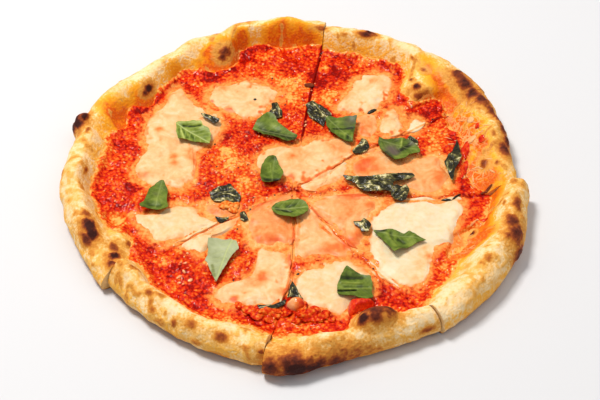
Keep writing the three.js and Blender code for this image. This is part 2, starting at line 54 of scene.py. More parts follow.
SHIFT_TO_MIDDLE = np.array((0, -3, 0))  # brings the middle of the whole pizza over the origin
CUT_CENTRE = (-1, -2)  # where the six cuts meet, before that shift
CUT_WIDTH = 0.8  # gap that the wheel leaves in the dough
SAUCE_CUT_WIDTH = 0.2  # wet sauce all but closes the gap
BED_THICKNESS = 4
SAUCE_FLOOR = 4.3
SAUCE_UNDERSIDE = 4.05  # it wets the bed
SAUCE_THICKNESS = 3.2
SAUCE_RELIEF = 1.1
CLUMP_SIZE = 7.5  # lumps of crushed tomato
SAUCE_LEAST = 0.15  # its sheet is never thinner than this
SAUCE_RADIUS = 128  # its usual outer radius
SAUCE_LINE = (5, 10)  # the sauce thins out where the dough rises from the first height
SAUCE_REACH = 15  # to the second, and its sheet ends this far up the crust, under the skin
PULP_TOPS = 0.8  # the grains of the sauce stand up this far
CHEESE_RISE = 1.6  # crown of a melted patch over the sauce
CHEESE_SOFT_EDGE = 10  # the patch rises to its crown over this distance
CHEESE_SUNK = 0.5  # its edge lies this far under the tops of the pulp
CUT_LIP = 0.7  # share of the crown that its edge reaches along a cut
CHEESE_SPREAD = 2  # it has melted this far past the edge of its solid
CHEESE_FILM = 8  # cheese has run into the sauce this far round a patch, and this much
CHEESE_FILM_STRENGTH = 0.8
OILY_FILM = 11  # and this far round one that is soaked with oil
NOMINAL_RADIUS = 155
CRUST_ELSEWHERE = (0, NOMINAL_RADIUS, 25, 20)  # angle, radius, width and height off the slices
CRUST_CREST = 11  # the crest lies this far in from the outer edge
CRUST_WAIST = 0.4  # share of the height at which the crust stands out furthest
CRUST_FOOT = 8  # the underside is tucked in this far below the waist
CRUST_LUMPS = 2.1
CRUST_ARC = 12  # mean radius of the arc from the crest to the waist
FOOT_ARC = 9  # and of the arc from the waist to the table
CRUST_SIDE = 10  # the outside of the crust lies further than this across it from its toe
CRUST_INSIDE = 12  # and its inner slope nearer than this
DOUGH_TIP = 1.2  # radius at which a slice of dough starts
FRESH_LEAF_THICKNESS = 0.5
COOKED_LEAF_THICKNESS = 0.6
RIB_WIDTH = 0.5  # the midrib of a basil leaf, and its side veins
VEIN_WIDTH = 0.4
VEIN_SPACING = 4.6
VEIN_SLANT = 0.85  # a side vein goes this far along the leaf for each millimetre aside

DOUGH_STEP = 0.85  # spacing of vertices along the crust
SAUCE_STEP = 0.68
CHEESE_STEP = 0.75
LEAF_STEP = 0.45
BED_ROWS = (0, 0.25, 0.5, 0.75, 0.9, 0.96)  # rows of vertices over the bed, as shares of its way
SLOPE_ROWS = 44
OUTSIDE_ROWS = 25
CRUMB_STEPS = 6  # rows of vertices up a cut face
TOMATO_ROWS = 15
FRESH_LEAF_ROWS = 24
COOKED_LEAF_ROWS = 20

# How baked the crust is, from 0 for pale to 1 for brown: all over, and what is added in soft
# patches, where it rose, by the stone and low on its outside. On its inner slope at the back it
# is made paler: painted light on a slope that the lamps leave in shade.
BAKED_ALL_OVER = 0.26
BAKED_PATCHES = 0.22
BAKED_RISEN = 0.4
BAKED_FOOT = 0.35
BAKED_LOW = 0.14
PAINTED_LIGHT_AT_BACK = -0.38
# How burnt its golden spots, its foot and its underside are, from 0 to 1.
BURNT_SPOTS = 0.3
BURNT_FOOT = 0.6
BURNT_UNDER = (0.25, 0.9)  # all over, and what its patches add

# The angle of each cut at these radii.
BEND_RADII = (30, 60, 93, 170)
CUTS = {
    "right": (-9.5, -5, -4, -0.4),
    "back_right": (36.5, 37, 34, 33),
    "back": (82, 82, 82, 80.9),
    "left": (212.5, 213, 213.5, 214.6),
    "front": (273, 270.5, 267.5, 262.4),
    "front_right": (307, 307.2, 307.5, 308.8),
}

# The crust of each slice: angle, outer radius, width and height of the crust.
SLICES = (
    {
        "name": "1", "from": "back", "to": "left", "turn": 0,
        "crust": (
            (81, 162, 22, 24), (92, 163.5, 22, 24), (104, 162.5, 22, 22), (111, 160, 38, 20),
            (117, 162, 38, 20), (124, 157.5, 22, 21), (132, 155.5, 26, 21), (140, 157.5, 30, 22),
            (150, 158.5, 28, 22), (155, 158.5, 30, 21), (159, 163.5, 33, 19), (164, 156, 30, 21),
            (180, 156.3, 27, 22), (190, 152.8, 28, 22), (200, 149.7, 38, 20), (208, 148.2, 38, 18),
            (214.5, 148, 34, 15),
        ),
    },
    {
        "name": "2", "from": "left", "to": "front", "turn": 0,
        "crust": (
            (214.5, 143, 32, 19), (225, 142.8, 24, 19), (238, 143, 24, 20), (250, 144.7, 30, 20),
            (262.8, 147, 28, 19),
        ),
    },
    {
        "name": "3", "from": "front", "to": "front_right", "turn": 0,
        "crust": (
            (262.8, 153, 33, 17), (270, 153.5, 34, 19), (278, 148.5, 28, 20), (284, 146, 24, 20),
            (289, 145.8, 34, 21), (297, 146.5, 34, 21), (303, 148.5, 25, 20), (308.8, 151, 24, 18),
        ),
    },
    {
        "name": "4", "from": "front_right", "to": "right", "turn": 360,
        "crust": (
            (308.8, 153.5, 26, 20), (318, 155, 38, 22), (330, 158, 42, 23), (340, 159, 40, 23),
            (350, 158.6, 32, 23), (359.4, 158.5, 28, 24),
        ),
    },
    {
        "name": "5", "from": "right", "to": "back_right", "turn": 0,
        "crust": (
            (-0.6, 153.5, 26, 16), (10, 153.6, 36, 19), (20, 157, 40, 20), (33, 162.5, 36, 20),
        ),
    },
    {
        "name": "6", "from": "back_right", "to": "back", "turn": 0,
        "crust": (
            (33, 163, 30, 20), (39, 164, 34, 20), (43.5, 165.5, 54, 19), (50, 165.6, 52, 19),
            (56, 163.5, 28, 21), (65, 161, 24, 22), (75, 158.5, 24, 22), (81, 160, 24, 22),
        ),
    },
)

# Bubbles that the oven raised in the crust: x, y, radius, height.
BLISTERS = (
    (84, 88, 19, 10), (-51, 127, 13, 7), (-103, 88, 10, 4), (50, -118, 16, 8),
    (-150, 57, 9, 5), (-108, -44, 13, 5), (-103, -80, 16, 4), (-2, -127, 12, 3),
    (124, 94, 14, 3), (140, 45, 15, 3), (-140, -46, 16, 3), (60, 135, 16, 3),
)

# Burnt and browned spots on the crust: x, y, half length along the crust, half width across it,
# and how dark, from 0.3 for golden to 1.2 for black.
SCORCHES = (
    (-149, 51, 10, 6, 1.3), (-152, 51, 6, 4, 1.2), (-145, 54, 6, 4, 1.1), (-141, 43, 5, 2, 0.55),
    (-102, 88, 4.5, 4, 1.25), (-105, 84, 3, 3, 0.9), (-50, 125, 6, 4.5, 0.85),
    (-51, 122, 5, 4, 0.8), (-47, 125, 4, 4, 0.7), (20, 146, 6, 2.5, 0.55), (37, 138, 4, 2.5, 0.4),
    (51, 137, 6, 2.2, 0.9), (56, 138, 6, 2.5, 1.1), (85, 116, 6, 1.5, 0.6), (93, 105, 4, 2.5, 0.6),
    (84, 97, 2.5, 2, 1.05), (87, 88, 4, 3.5, 1), (88, 82, 6, 4.5, 0.7), (90, 81, 3, 3, 0.6),
    (82, 88, 5, 5, 0.4), (93, 84, 5, 5, 0.45), (117, 100, 4, 3, 0.9), (117, 95, 10, 6, 0.85),
    (121, 89, 10, 6.5, 1), (127, 79, 10, 6.5, 0.95), (132, 71, 9, 6, 0.9), (137, 63, 9, 5, 0.8),
    (141, 55, 9, 4.5, 0.8), (144, 45, 9, 5, 0.9), (146, 36, 9, 5, 0.95), (144, 27, 8, 4.5, 0.95),
    (137, 38, 4, 2, 0.5), (130, 18, 5, 4, 0.75), (138, 14, 2, 2, 0.9), (147, -8, 4.5, 4, 0.5),
    (139, -27, 2.5, 2, 0.6), (147, -28, 6, 4, 0.75), (147, -32, 5, 4, 0.7), (143, -44, 8, 6, 0.8),
    (145, -53, 11, 8, 0.9), (146, -62, 10, 7, 0.85), (139, -57, 5, 3, 0.7), (118, -38, 3, 2.5, 0.9),
    (124, -76, 5, 4, 0.5), (84, -124, 8, 2.6, 0.65), (50, -118, 13, 10, 0.85),
    (59, -119, 9, 8, 0.95), (52, -123, 9, 6, 0.85), (45, -119, 6, 6, 1),
    (44, -127, 6, 5, 1.15), (51, -127, 7, 5, 0.9),
    (52, -130, 6, 2, 0.55), (46, -139, 4, 2.5, 0.4), (-19, -145, 2.5, 2, 0.7),
    (-2, -113, 8, 2.2, 0.8), (-7, -114, 4, 1.5, 0.6), (-2, -120, 9, 3, 0.5), (6, -122, 4, 2, 0.45),
    (-29, -142, 5, 3, 0.4), (-44, -135, 6, 4, 0.6), (-59, -134, 5, 3, 0.45),
    (-90, -101, 4, 3, 0.6), (-83, -104, 5, 2.2, 0.45), (-89, -107, 3, 3, 0.5),
    (-88, -111, 4.5, 4, 0.5), (-74, -122, 2.5, 4, 0.6), (-63, -126, 5.5, 4.5, 0.6),
    (-67, -92, 3, 1.5, 0.95), (-59, -96, 8, 2.6, 0.85), (-54, -98, 4, 2, 0.7),
    (-102, -82, 5, 4.5, 0.5), (-99, -81, 3, 0.8, 0.8), (-135, -38, 5, 5, 0.65),
    (-132, -47, 8, 6, 1.3), (-130, -53, 7, 5, 1.25), (-134, -56, 7, 5, 0.85),
    (-138, -52, 5, 4, 0.55), (-133, -49, 15, 10, 0.5), (-142, -36, 4, 4, 0.35),
    (-111, -40, 3, 5.5, 1.35), (-107, -53, 4, 5, 0.6), (-116, -60, 5, 4, 0.75),
    (-115, -68, 4, 5, 1.2), (-116, -76, 5, 3.5, 0.95), (-110, -80, 3, 1.5, 0.8),
    (-129, -73, 4, 3, 0.4), (-140, 7, 6, 2.6, 0.6), (-141, -10, 6, 4, 0.35),
    (-13, -154, 10, 10, 0.9), (2, -154.8, 16, 12, 1.05),
    (15, -152.8, 14, 12, 1.1), (28, -150, 13, 11, 1), (41, -146.2, 12, 9, 0.8),
    (54, -142.8, 11, 7, 0.6), (67, -137, 10, 5, 0.45),
)

# Orange tomato oil on the crust: x, y, radius, strength.
OILY_CRUST = (
    (-129, 69, 8, 0.55), (-127, 63, 12, 0.6), (-120, 63, 8, 0.7), (-108, 82, 9, 0.6),
    (-102, 83, 6, 0.7), (-50, 121, 11, 0.6), (-59, 125, 6, 0.8), (-62, 120, 7, 0.7),
    (-37, 140, 4, 0.95), (-48, 130, 8, 0.5), (-42, 130, 7, 0.5), (-83, 108, 6, 0.55),
    (-6, 146, 10, 0.4), (12, 143, 9, 0.5), (-3, 144, 9, 0.55), (-16, 144, 7, 0.5),
    (30, 122, 8, 0.3), (41, 121, 9, 0.3), (52, 118, 8, 0.3),
    (94, 112, 8, 0.55), (102, 104, 8, 0.65), (94, 103, 5, 0.85), (104, 96, 5, 0.8),
    (96, 90, 8, 0.5), (107, 90, 8, 0.6), (114, 81, 9, 0.7), (118, 68, 10, 0.75),
    (109, 69, 8, 0.75), (122, 51, 10, 0.75), (131, 52, 7, 0.55), (130, 33, 9, 0.75),
    (122, 36, 8, 0.6), (125, 23, 9, 0.8), (121, 16, 9, 0.75), (131, 13, 9, 0.7), (134, 2, 8, 0.6),
    (125, 4, 8, 0.75), (113, 59, 4, 0.9), (128, 32, 3, 1.15), (137, -6, 6, 0.55),
    (133, -15, 7, 0.6), (126, -27, 8, 0.7), (129, -46, 8, 0.7), (120, -44, 9, 0.7),
    (111, -48, 8, 0.7), (106, -57, 8, 0.65), (-124, -24, 5, 0.7), (-118, -31, 6, 0.8),
    (-114, -24, 7, 0.85), (-108, -32, 5, 0.85), (-106, -43, 5, 0.7), (111, 59, 3, 1.1),
    (111, -45, 7, 0.9), (120, -37, 6, 0.8), (115, -54, 8, 0.8), (105, -58, 6, 0.9),
    (96, -69, 6, 0.8), (122, -47, 7, 0.6), (-17, -129, 6, 0.6),
)

# Where shreds of cheese have dried on the oily crust in a net: x, y, radius, strength.
SHREDDED = ((121, 64, 14, 0.9), (124, 42, 12, 0.9), (124, 14, 11, 0.8), (112, -50, 11, 0.5))
SHREDS_IN_EACH = 16

# How red or orange the sauce is: x, y, radius, and more for orange, less for deep red.
SAUCE_TINTS = (
    (-110, 72, 7, -0.5), (-100, 79, 6, -0.4), (-115, 37, 6, -0.3), (-112, 0, 5, -0.3),
    (-119, -15, 7, -0.2), (-107, 13, 6, 0.25), (-100, 19, 5, 0.25), (-102, -40, 4, -0.35),
    (-93, -51, 5, -0.3), (-74, -55, 4, 0.5), (-83, -66, 4, 0.45), (-72, -73, 8, -0.2),
    (-78, -71, 5, -0.3), (-56, -66, 4, 0.4), (-58, -56, 4, 0.5), (-40, -66, 7, 0.2),
    (-30, -51, 4, -0.4), (-55, 49, 5, -0.35), (-48, 47, 3, -0.6), (-33, 66, 6, 0.3),
    (-46, 35, 6, 0.5), (-44, 23, 6, 0.5), (-33, 26, 7, 0.3), (-29, 7, 7, 0.3), (-37, 0, 6, 0.3),
    (-69, -3, 7, 0.2), (-83, 0, 5, 0.4), (-74, 2, 5, 0.4), (-7, 3, 5, -0.35), (12, -18, 4, -0.35),
    (-60, 109, 5, -0.7), (-52, 113, 5, -0.3), (-44, 116, 4, -0.4), (-36, 128, 5, -0.8),
    (-32, 139, 5, -0.4), (-22, 140, 5, -0.4), (12, 109, 5, -0.25), (17, 100, 4, -0.7),
    (-18, 110, 6, 0.35), (-9, 103, 6, 0.45), (2, 96, 8, 0.5), (5, 106, 5, 0.35), (-4, 86, 6, 0.55),
    (31, 128, 5, -0.3), (31, 114, 6, -0.4), (23, 118, 3, 0.5), (26, 92, 5, 0.3), (22, 86, 4, 0.5),
    (34, 93, 5, 0.3), (26, 80, 4, 0.5), (12, 84, 4, 0.4), (82, 68, 4, -0.4), (96, 70, 7, -0.2),
    (101, 75, 5, -0.35), (102, 55, 6, 0.4), (96, 44, 6, 0.3), (98, 34, 6, 0.3), (116, -2, 6, -0.3),
    (103, -5, 4, 0.45), (54, -93, 5, -0.4), (-24, -108, 6, -0.4), (-9, -108, 3, -0.6),
)

# Tomato that has soaked into the cheese: x, y, radius, strength.
SOAKED_CHEESE = (
    (-94, 55, 3, 0.75), (-83, 28, 3, 0.85), (-82, 22, 3, 0.6), (-70, 32, 5, 0.5),
    (-68, 25, 4, 0.45), (-101, 11, 5, 0.35), (-50, 97, 4, 0.6), (-46, 76, 4, 0.5),
    (58, 104, 3, 0.7), (36, 89, 5, 0.45), (50, 65, 7, 0.4), (36, 72, 5, 0.35), (48, 54, 6, 0.65),
    (-2, 29, 4, 0.45), (6, 31, 5, 0.4), (26, 38, 6, 0.4), (33, 34, 5, 0.35), (-2, 10, 3, 1),
    (52, 19, 7, 0.55), (43, 18, 5, 0.5), (49, 26, 5, 0.5), (100, 10, 5, 0.5), (58, -6, 8, 0.4),
    (38, -6, 7, 0.5), (52, -16, 5, 0.4), (38, -48, 7, 0.5), (31, -54, 6, 0.6), (40, -53, 4, 0.65),
    (21, -58, 7, 0.5), (11, -66, 5, 0.6), (38, -22, 6, 0.35), (43, -42, 4, 0.45),
    (-2, -31, 5, 0.4), (-12, -50, 5, 0.9), (-23, -50, 4, 0.8), (-38, -32, 4, 0.45),
    (-20, -79, 5, 0.85), (-26, -85, 4, 0.5), (-37, -96, 3, 0.9), (-5, -60, 4, 0.45),
    (-6, -92, 4, 0.45), (43, -66, 5, 0.75), (48, -73, 4, 0.7), (86, -57, 5, 0.45),
    (89, -62, 4, 0.7), (82, -68, 5, 0.4), (88, -88, 5, 0.45), (78, -79, 5, 0.35),
)

# Fresh basil, torn and laid on last. rib is where the midrib starts and ends, curl how far the
# sides lift, tone how light the leaf is, under whether its pale underside shows. A crease runs
# from one point to another: its width, the tone it paints, and how far it stands up. Its tone is
# painted light on raised creases and painted shade in sunk ones, mixed with the leaf's own darker
# stripes. A withered spot is x, y, radius, strength: purple-brown, and on the folded right leaf
# also painted shade in its hollow.
FRESH_BASIL = {
    "basil_left": {
        "rib": ((-82, 58), (-58, 38)), "curl": 2.2, "tone": 0.74, "under": 0, "veins": 1,
        "outline": (
            (-82, 59), (-75, 58.5), (-71, 59.5), (-64.5, 58), (-63, 54.5), (-58.5, 51), (-57, 46),
            (-57.5, 37.5), (-64.5, 39), (-70.5, 40), (-76.5, 42), (-80, 41), (-81, 49),
        ),
        "creases": (
            (-76.5, 55, -64.5, 54.5, 0.7, -0.6, -0.8), (-79.5, 52, -78.5, 42, 1, -0.35, 0),
            (-77, 52, -73.5, 43, 1, -0.35, 0), (-72.5, 49, -68.5, 41, 1, -0.25, 0),
            (-78.5, 53, -75.5, 42, 0.5, 0.3, 0), (-67.5, 50, -60.5, 46, 2.5, -0.12, 0.3),
            (-80.5, 58, -66, 57.5, 1.5, 0.12, 0.5),
        ),
    },
    "basil_back": {
        "rib": ((-27.5, 53.5), (1.5, 44.5)), "curl": 2.5, "tone": 0.5, "under": 0, "veins": 0.35,
        "outline": (
            (-29, 52.5), (-25.5, 60), (-21.5, 65), (-18, 67), (-13.5, 65), (-11.5, 60),
            (-7.5, 54.5), (-2.5, 50.5), (3, 46.5), (1.5, 43), (-4, 40.5), (-10.5, 44),
            (-19, 47.5), (-24.5, 50.5),
        ),
        "creases": (
            (-22, 51.5, -1, 44.5, 2.2, -0.28, -0.4), (-22, 59, -9.5, 54.5, 3, 0.1, 0.5),
            (-25, 60, -19.5, 64, 1.5, -0.1, 0.8), (-6.5, 46.5, 0.5, 44.5, 1.5, -0.15, 0.2),
        ),
    },
    "basil_back_right": {
        "rib": ((24, 62.5), (40.5, 43)), "curl": 3, "tone": 0.45, "under": 0, "veins": 0.3,
        "outline": (
            (22, 63.5), (25.5, 65), (30.5, 62.5), (36.5, 63.5), (44.5, 63.5), (43.5, 57),
            (42, 49), (41, 40), (36, 41), (31, 45), (26.5, 49), (23.5, 55),
        ),
        "creases": (
            (28, 52.5, 40.5, 53, 0.8, -0.4, -0.6), (29.5, 48, 36.5, 48, 1.5, 0.2, 0.4),
            (37.5, 47, 37.5, 43, 1, -0.35, 0), (40.5, 48, 40.5, 42, 0.8, 0.2, 0.4),
            (30.5, 59.5, 33.5, 54, 2, 0.12, 0.3),
        ),
        "wilted": (
            (39.5, 59.5, 4.5, 0.6),
        ),
    },
    "basil_folded_right": {
        "rib": ((62.5, 40.5), (85.5, 32)), "curl": 3, "tone": 0.43, "under": 0, "veins": 0.3,
        "outline": (
            (59, 44.5), (62.5, 42.5), (73.5, 43.5), (78.5, 42), (82.5, 39.5), (85.5, 35),
            (87.5, 30), (82, 29), (79, 27), (77, 23.5), (69.5, 20.5), (66.5, 23.5), (62, 29),
            (59.5, 34), (58.5, 39.5),
        ),
        "creases": (
            (75, 41.5, 74, 34, 1, 0.4, 0.9), (70, 23.5, 78, 28, 1.6, 0.2, 0.5),
            (72.5, 31, 80, 37.5, 1.4, -0.4, -0.4), (78.5, 33, 85.5, 32, 1.5, 0.02, 0.2),
            (60.5, 40.5, 61.5, 33, 1, 0.1, 0.5), (63.5, 29, 67.5, 23.5, 1.2, -0.3, 0),
        ),
        # These spots are the leaf's withered purple, and they also paint the shade in its folded
        # hollow.
        "wilted": (
            (67, 33, 4.6, 1), (69.5, 29, 3, 1), (82.5, 38.5, 3, 0.6),
        ),
    },
    "basil_middle": {
        "rib": ((-12.5, 26.5), (-14.5, 2)), "curl": 2.5, "tone": 0.52, "under": 0, "veins": 0.2,
        "outline": (
            (-14.5, 27), (-12, 25.5), (-10.5, 20.5), (-8.5, 14), (-6.5, 9.5), (-9, 3.5),
            (-15.5, 2), (-21, 1), (-22.5, 6.5), (-21.5, 15), (-19.5, 21.5), (-17.5, 25.5),
        ),
        "creases": (
            (-19, 3.5, -9, 3.5, 1.1, -0.5, -0.5), (-21, 5.5, -14.5, 5.5, 1.2, 0.12, 0.5),
            (-15.5, 22.5, -12, 24.5, 1.6, -0.22, 0.2), (-15.5, 18.5, -14.5, 7.5, 0.5, 0.1, 0.3),
        ),
    },
    "basil_far_left": {
        "rib": ((-88.5, 2), (-92, -22)), "curl": 2.4, "tone": 0.5, "under": 0, "veins": 0.25,
        "outline": (
            (-90.5, 3), (-87.5, 3.5), (-86, -1), (-84, -5.5), (-84.5, -14.5), (-83, -22.5),
            (-88.5, -24), (-95, -22), (-101, -22), (-102.5, -21), (-100, -17.5), (-98, -12),
            (-97, -5.5), (-94.5, -2),
        ),
        "creases": (
            (-100, -20, -95.5, -21, 1.2, 0.05, 0.4), (-95.5, -19, -88.5, -20, 1.3, -0.2, -0.3),
            (-94.5, -14.5, -86.5, -11, 2.5, 0.05, 0.4),
        ),
        "wilted": (
            (-92, -9, 2.6, 0.3),
        ),
    },
    "basil_whole": {
        "rib": ((-14, -22.5), (10.5, -21)), "curl": 2.6, "tone": 0.56, "under": 0, "veins": 0.5,
        "outline": (
            (-15, -22), (-11.5, -18), (-6, -16.5), (-1, -15), (4.5, -14.5), (8.5, -16.5),
            (10.5, -21), (10, -24.5), (6.5, -29), (2.5, -31.5), (-2, -32), (-8, -29.5),
            (-12.5, -26.5),
        ),
        "creases": (
            (-11.5, -22.5, -1.5, -25.5, 1.2, -0.42, -0.4), (-5, -21, 2, -19, 1.1, -0.2, -0.2),
            (-9, -18, -2, -17.5, 1, 0.15, 0.5), (-2, -29, 7, -27, 2, 0.1, 0.3),
        ),
    },
    "basil_upturned": {
        "rib": ((-40, -50), (-49.5, -82.5)), "curl": 3, "tone": 0.68, "under": 1, "veins": 0.8,
        "outline": (
            (-55.5, -50.5), (-49.5, -50), (-44.5, -49.5), (-40.5, -48.5), (-36.5, -51),
            (-35, -57), (-38.5, -62), (-41.5, -67), (-44.5, -74), (-47.5, -80.5), (-49, -85),
            (-51.5, -80), (-53.5, -75.5), (-55, -70.5), (-57, -69), (-55, -64), (-55.5, -57),
        ),
        "creases": (
            (-52, -72.5, -50.5, -80.5, 0.9, -0.5, 0),
            (-50, -65.5, -43.5, -65.5, 1.2, -0.12, -0.2), (-52, -58.5, -40, -56, 2, 0.06, 0.3),
        ),
    },
    "basil_right": {
        "rib": ((54.5, -42.5), (85.5, -49.5)), "curl": 2.4, "tone": 0.56, "under": 0, "veins": 0.3,
        "outline": (
            (52.5, -41), (57.5, -42), (63, -40), (69.5, -42), (72.5, -45), (76, -42),
            (80.5, -45.5), (87, -49.5), (82, -51.5), (75.5, -56.5), (69.5, -59), (65.5, -62),
            (63.5, -58), (60.5, -53), (57.5, -48.5), (54.5, -44.5),
        ),
        "creases": (
            (55, -42.5, 61, -42, 1, -0.4, 0.3), (64, -43.5, 65, -49.5, 1.1, -0.25, -0.2),
            (68.5, -49.5, 72.5, -53, 1.3, -0.3, -0.3), (61.5, -44.5, 67, -56.5, 1.2, 0.15, 0.5),
            (67, -58, 74.5, -56.5, 1, -0.15, -0.2), (74, -46, 80.5, -48.5, 2, -0.1, 0.2),
        ),
    },
    "basil_folded_front": {
        "rib": ((30, -89.5), (50.5, -90)), "curl": 2, "tone": 0.49, "under": 0, "veins": 0.2,
        "outline": (
            (34.5, -73), (38, -76), (43, -79.5), (50, -81.5), (51, -87.5), (50, -93.5),
            (51.5, -98), (47.5, -100), (43.5, -99.5), (37.5, -97), (30, -96), (28, -94.5),
            (28.5, -87), (30.5, -81),
        ),
        "creases": (
            (31.5, -82.5, 44, -82.5, 1.3, -0.36, -0.7), (31.5, -86, 44, -87, 0.9, 0.2, 0.7),
            (33, -89.5, 48, -90, 0.8, -0.18, -0.5), (28.5, -92.5, 40, -92.5, 0.6, -0.8, -1),
            (30, -91, 50.5, -91, 0.8, 0.16, 0.5), (33.5, -77, 38, -78.5, 1.4, 0.08, 0.4),
            (37.5, -97.5, 47.5, -99, 0.8, 0.1, 0),
        ),
    },
}

# Cooked basil, dark and shrivelled: height of its folds, the angle they run at, and outline.
COOKED_BASIL = {
    "cooked_basil_right": (1.3, 82, (
        (113, 43), (114, 36.5), (114.5, 30.5), (115, 26), (112.5, 19), (110, 15.5), (109, 10),
        (108, 3.5), (106.5, 4), (105, 12.5), (103.5, 17.5), (102.5, 21), (105, 25), (106, 27.5),
        (109, 31.5), (111.5, 37.5),
    )),
    "cooked_basil_roll": (2.2, -7, (
        (33.5, 8.5), (38.5, 6.5), (45, 7.5), (53, 7.5), (58.5, 8.5), (63, 9.5), (67, 10),
        (72.5, 10.5), (80.5, 10), (82.5, 7.5), (77.5, 4), (70.5, 3.5), (67, 2), (67.5, -2.5),
        (65.5, -7.5), (62.5, -5.5), (55.5, -6.5), (49, -6.5), (44, -3.5), (42, 0), (39, 3),
        (36, 3.5),
    )),
    "cooked_basil_knot": (2, 48, (
        (65.5, -2.5), (70, 0), (73, -2), (76, 0), (78, -3.5), (77.5, -8), (75.5, -13.5),
        (72, -15), (68, -13.5), (65.5, -10),
    )),
    "cooked_basil_left": (1.7, 8, (
        (-56.5, -5), (-53.5, -2), (-49.5, 0.5), (-45.5, 1.5), (-43.5, 3.5), (-41.5, 1.5),
        (-40.5, -2), (-38, -4), (-35.5, -7.5), (-35.5, -13), (-37.5, -15), (-43.5, -13),
        (-48.5, -14.5), (-53.5, -13), (-55.5, -9.5),
    )),
    "cooked_basil_left_tip": (0.9, -7, (
        (-52.5, -26.5), (-50, -27.5), (-46, -28), (-42.5, -27), (-44.5, -30.5), (-47.5, -33),
        (-50, -31),
    )),
    "cooked_basil_centre": (0.9, -64, (
        (-35.5, -23.5), (-33, -22), (-30.5, -25.5), (-30, -30), (-32.5, -32), (-35, -30),
    )),
    "cooked_basil_back": (1.7, -87, (
        (-16, 81), (-12, 82.5), (-10, 77.5), (-8, 72.5), (-8, 67.5), (-11.5, 64.5), (-15, 66.5),
        (-20, 67.5), (-17.5, 71.5), (-15, 75.5),
    )),
    "cooked_basil_back_right": (1.9, -47, (
        (8, 79.5), (10, 81), (13, 83), (16.5, 79.5), (19.5, 78.5), (23.5, 74), (27, 69), (26, 65),
        (22.5, 65), (21, 58), (17, 62), (12, 65), (9.5, 71), (10, 76),
    )),
    "cooked_basil_by_cut": (1.4, 46, (
        (40.5, 34), (44, 38.5), (46, 42), (47, 45.5), (51, 43.5), (52.5, 37.5), (50, 33),
        (45.5, 31), (41.5, 30.5),
    )),
    "cooked_basil_far_left": (0.9, -30, (
        (-65, 68), (-60, 67), (-56.5, 65), (-52, 63), (-52, 59.5), (-55.5, 58), (-59, 61.5),
        (-62.5, 64),
    )),
    "cooked_basil_speckled": (1, -34, (
        (39.5, -33), (42, -33.5), (45, -32.5), (47, -31), (50, -33), (51.5, -36), (50.5, -39.5),
        (49, -42.5), (45, -42), (43.5, -38), (40, -35.5),
    )),
    "cooked_basil_front": (1.3, -84, (
        (-0.5, -84.5), (1, -87.5), (3, -91.5), (4.5, -96.5), (7, -100), (2.5, -97.5),
        (-1.5, -97.5), (-4, -99), (-2.5, -94), (-2, -89),
    )),
    "cooked_basil_front_tail": (0.9, 8, (
        (-23, -101.5), (-19, -103), (-14.5, -103), (-10, -101.5), (-6.5, -99), (-4, -97),
        (-5, -101), (-9, -104.5), (-12.5, -106), (-15.5, -107.5), (-19, -106.5), (-22, -104.5),
    )),
    "cooked_basil_corner": (1.4, -48, (
        (78.5, 46.5), (81, 49), (83.5, 47), (86.5, 43.5), (86, 39), (82.5, 38), (79.5, 41.5),
    )),
}

# ---------------------------------------------------------------- numbers


def mix(a, b, share):
    """The way from a to b by a share."""
    return a + (b - a) * share


def smoothstep(low, high, x):
    """0 up to low, 1 from high, and 3t^2 - 2t^3 between them, t being the share of the way."""
    t = np.clip((x - low) / (high - low), 0, 1)
    return t * t * (3 - 2 * t)


def chance(i, j, seed):
    """A repeatable number from 0 to 1 for each pair of whole numbers: their bits mixed up."""
    n = (i.astype(np.int64) * 374761393 + j.astype(np.int64) * 668265263 + seed * 974711)
    n = n & 0xFFFFFFFF
    n = ((n ^ (n >> 13)) * 1274126177) & 0xFFFFFFFF
    return ((n ^ (n >> 16)) & 0xFFFF) / 65535


# The size of noise is the millimetres from lump to lump. Its seed is a whole number, and each
# pattern has its own, so that no two patterns rise and fall together.


def noise(x, y, size, seed):
    """Soft lumps, from -1 to 1: a random value at each corner of a net `size` wide, eased
    between the corners."""
    u, v = x / size, y / size
    i, j = np.floor(u), np.floor(v)
    a, b = smoothstep(0, 1, u - i), smoothstep(0, 1, v - j)
    near = mix(chance(i, j, seed), chance(i + 1, j, seed), a)
    far = mix(chance(i, j + 1, seed), chance(i + 1, j + 1, seed), a)
    return 2 * mix(near, far, b) - 1


def rough(x, y, size, seed, layers=3):
    """Lumps on lumps, from -1 to 1: noise, then half as much at half the size on a turned net,
    and so on."""
    total, strength = 0, 0
    for layer in range(layers):
        total = total + noise(x, y, size, seed + layer) / 2**layer
        strength += 1 / 2**layer
        x, y, size = 0.8 * x - 0.6 * y, 0.6 * x + 0.8 * y, size / 2
    return total / strength


def grains(x, y, size, seed):
    """Round grains about `size` apart, one to each square of a net and moved about in it. Gives
    the height of a half ball over the nearest grain, from 0 to 1, and that grain's own chance."""
    u, v = x / size, y / size
    i, j = np.floor(u), np.floor(v)
    nearest, which = np.full(u.shape, 9.0), np.zeros(u.shape)
    for step_i in (-1, 0, 1):
        for step_j in (-1, 0, 1):
            a, b = i + step_i, j + step_j
            middle_u = a + 0.15 + 0.7 * chance(a, b, seed)
            middle_v = b + 0.15 + 0.7 * chance(a, b, seed + 1)
            radius = 0.45 + 0.35 * chance(a, b, seed + 2)
            distance = np.hypot(u - middle_u, v - middle_v) / radius
            closer = distance < nearest
            nearest = np.where(closer, distance, nearest)
            which = np.where(closer, chance(a, b, seed + 3), which)
    return np.sqrt(np.clip(1 - nearest**2, 0, 1)), which


def soft_spots(x, y, spots):
    """The sum of round soft spots (x, y, radius, strength): strength times e^-(d/radius)^2."""
    total = np.zeros(np.shape(x))
    for spot_x, spot_y, radius, strength in spots:
        total += strength * np.exp(-((x - spot_x) ** 2 + (y - spot_y) ** 2) / radius**2)
    return total


# ---------------------------------------------------------------- places on the slices


def polar(angle, radius):
    """x and y of a point at an angle and a radius."""
    turn = np.radians(angle)
    return radius * np.cos(turn), radius * np.sin(turn)


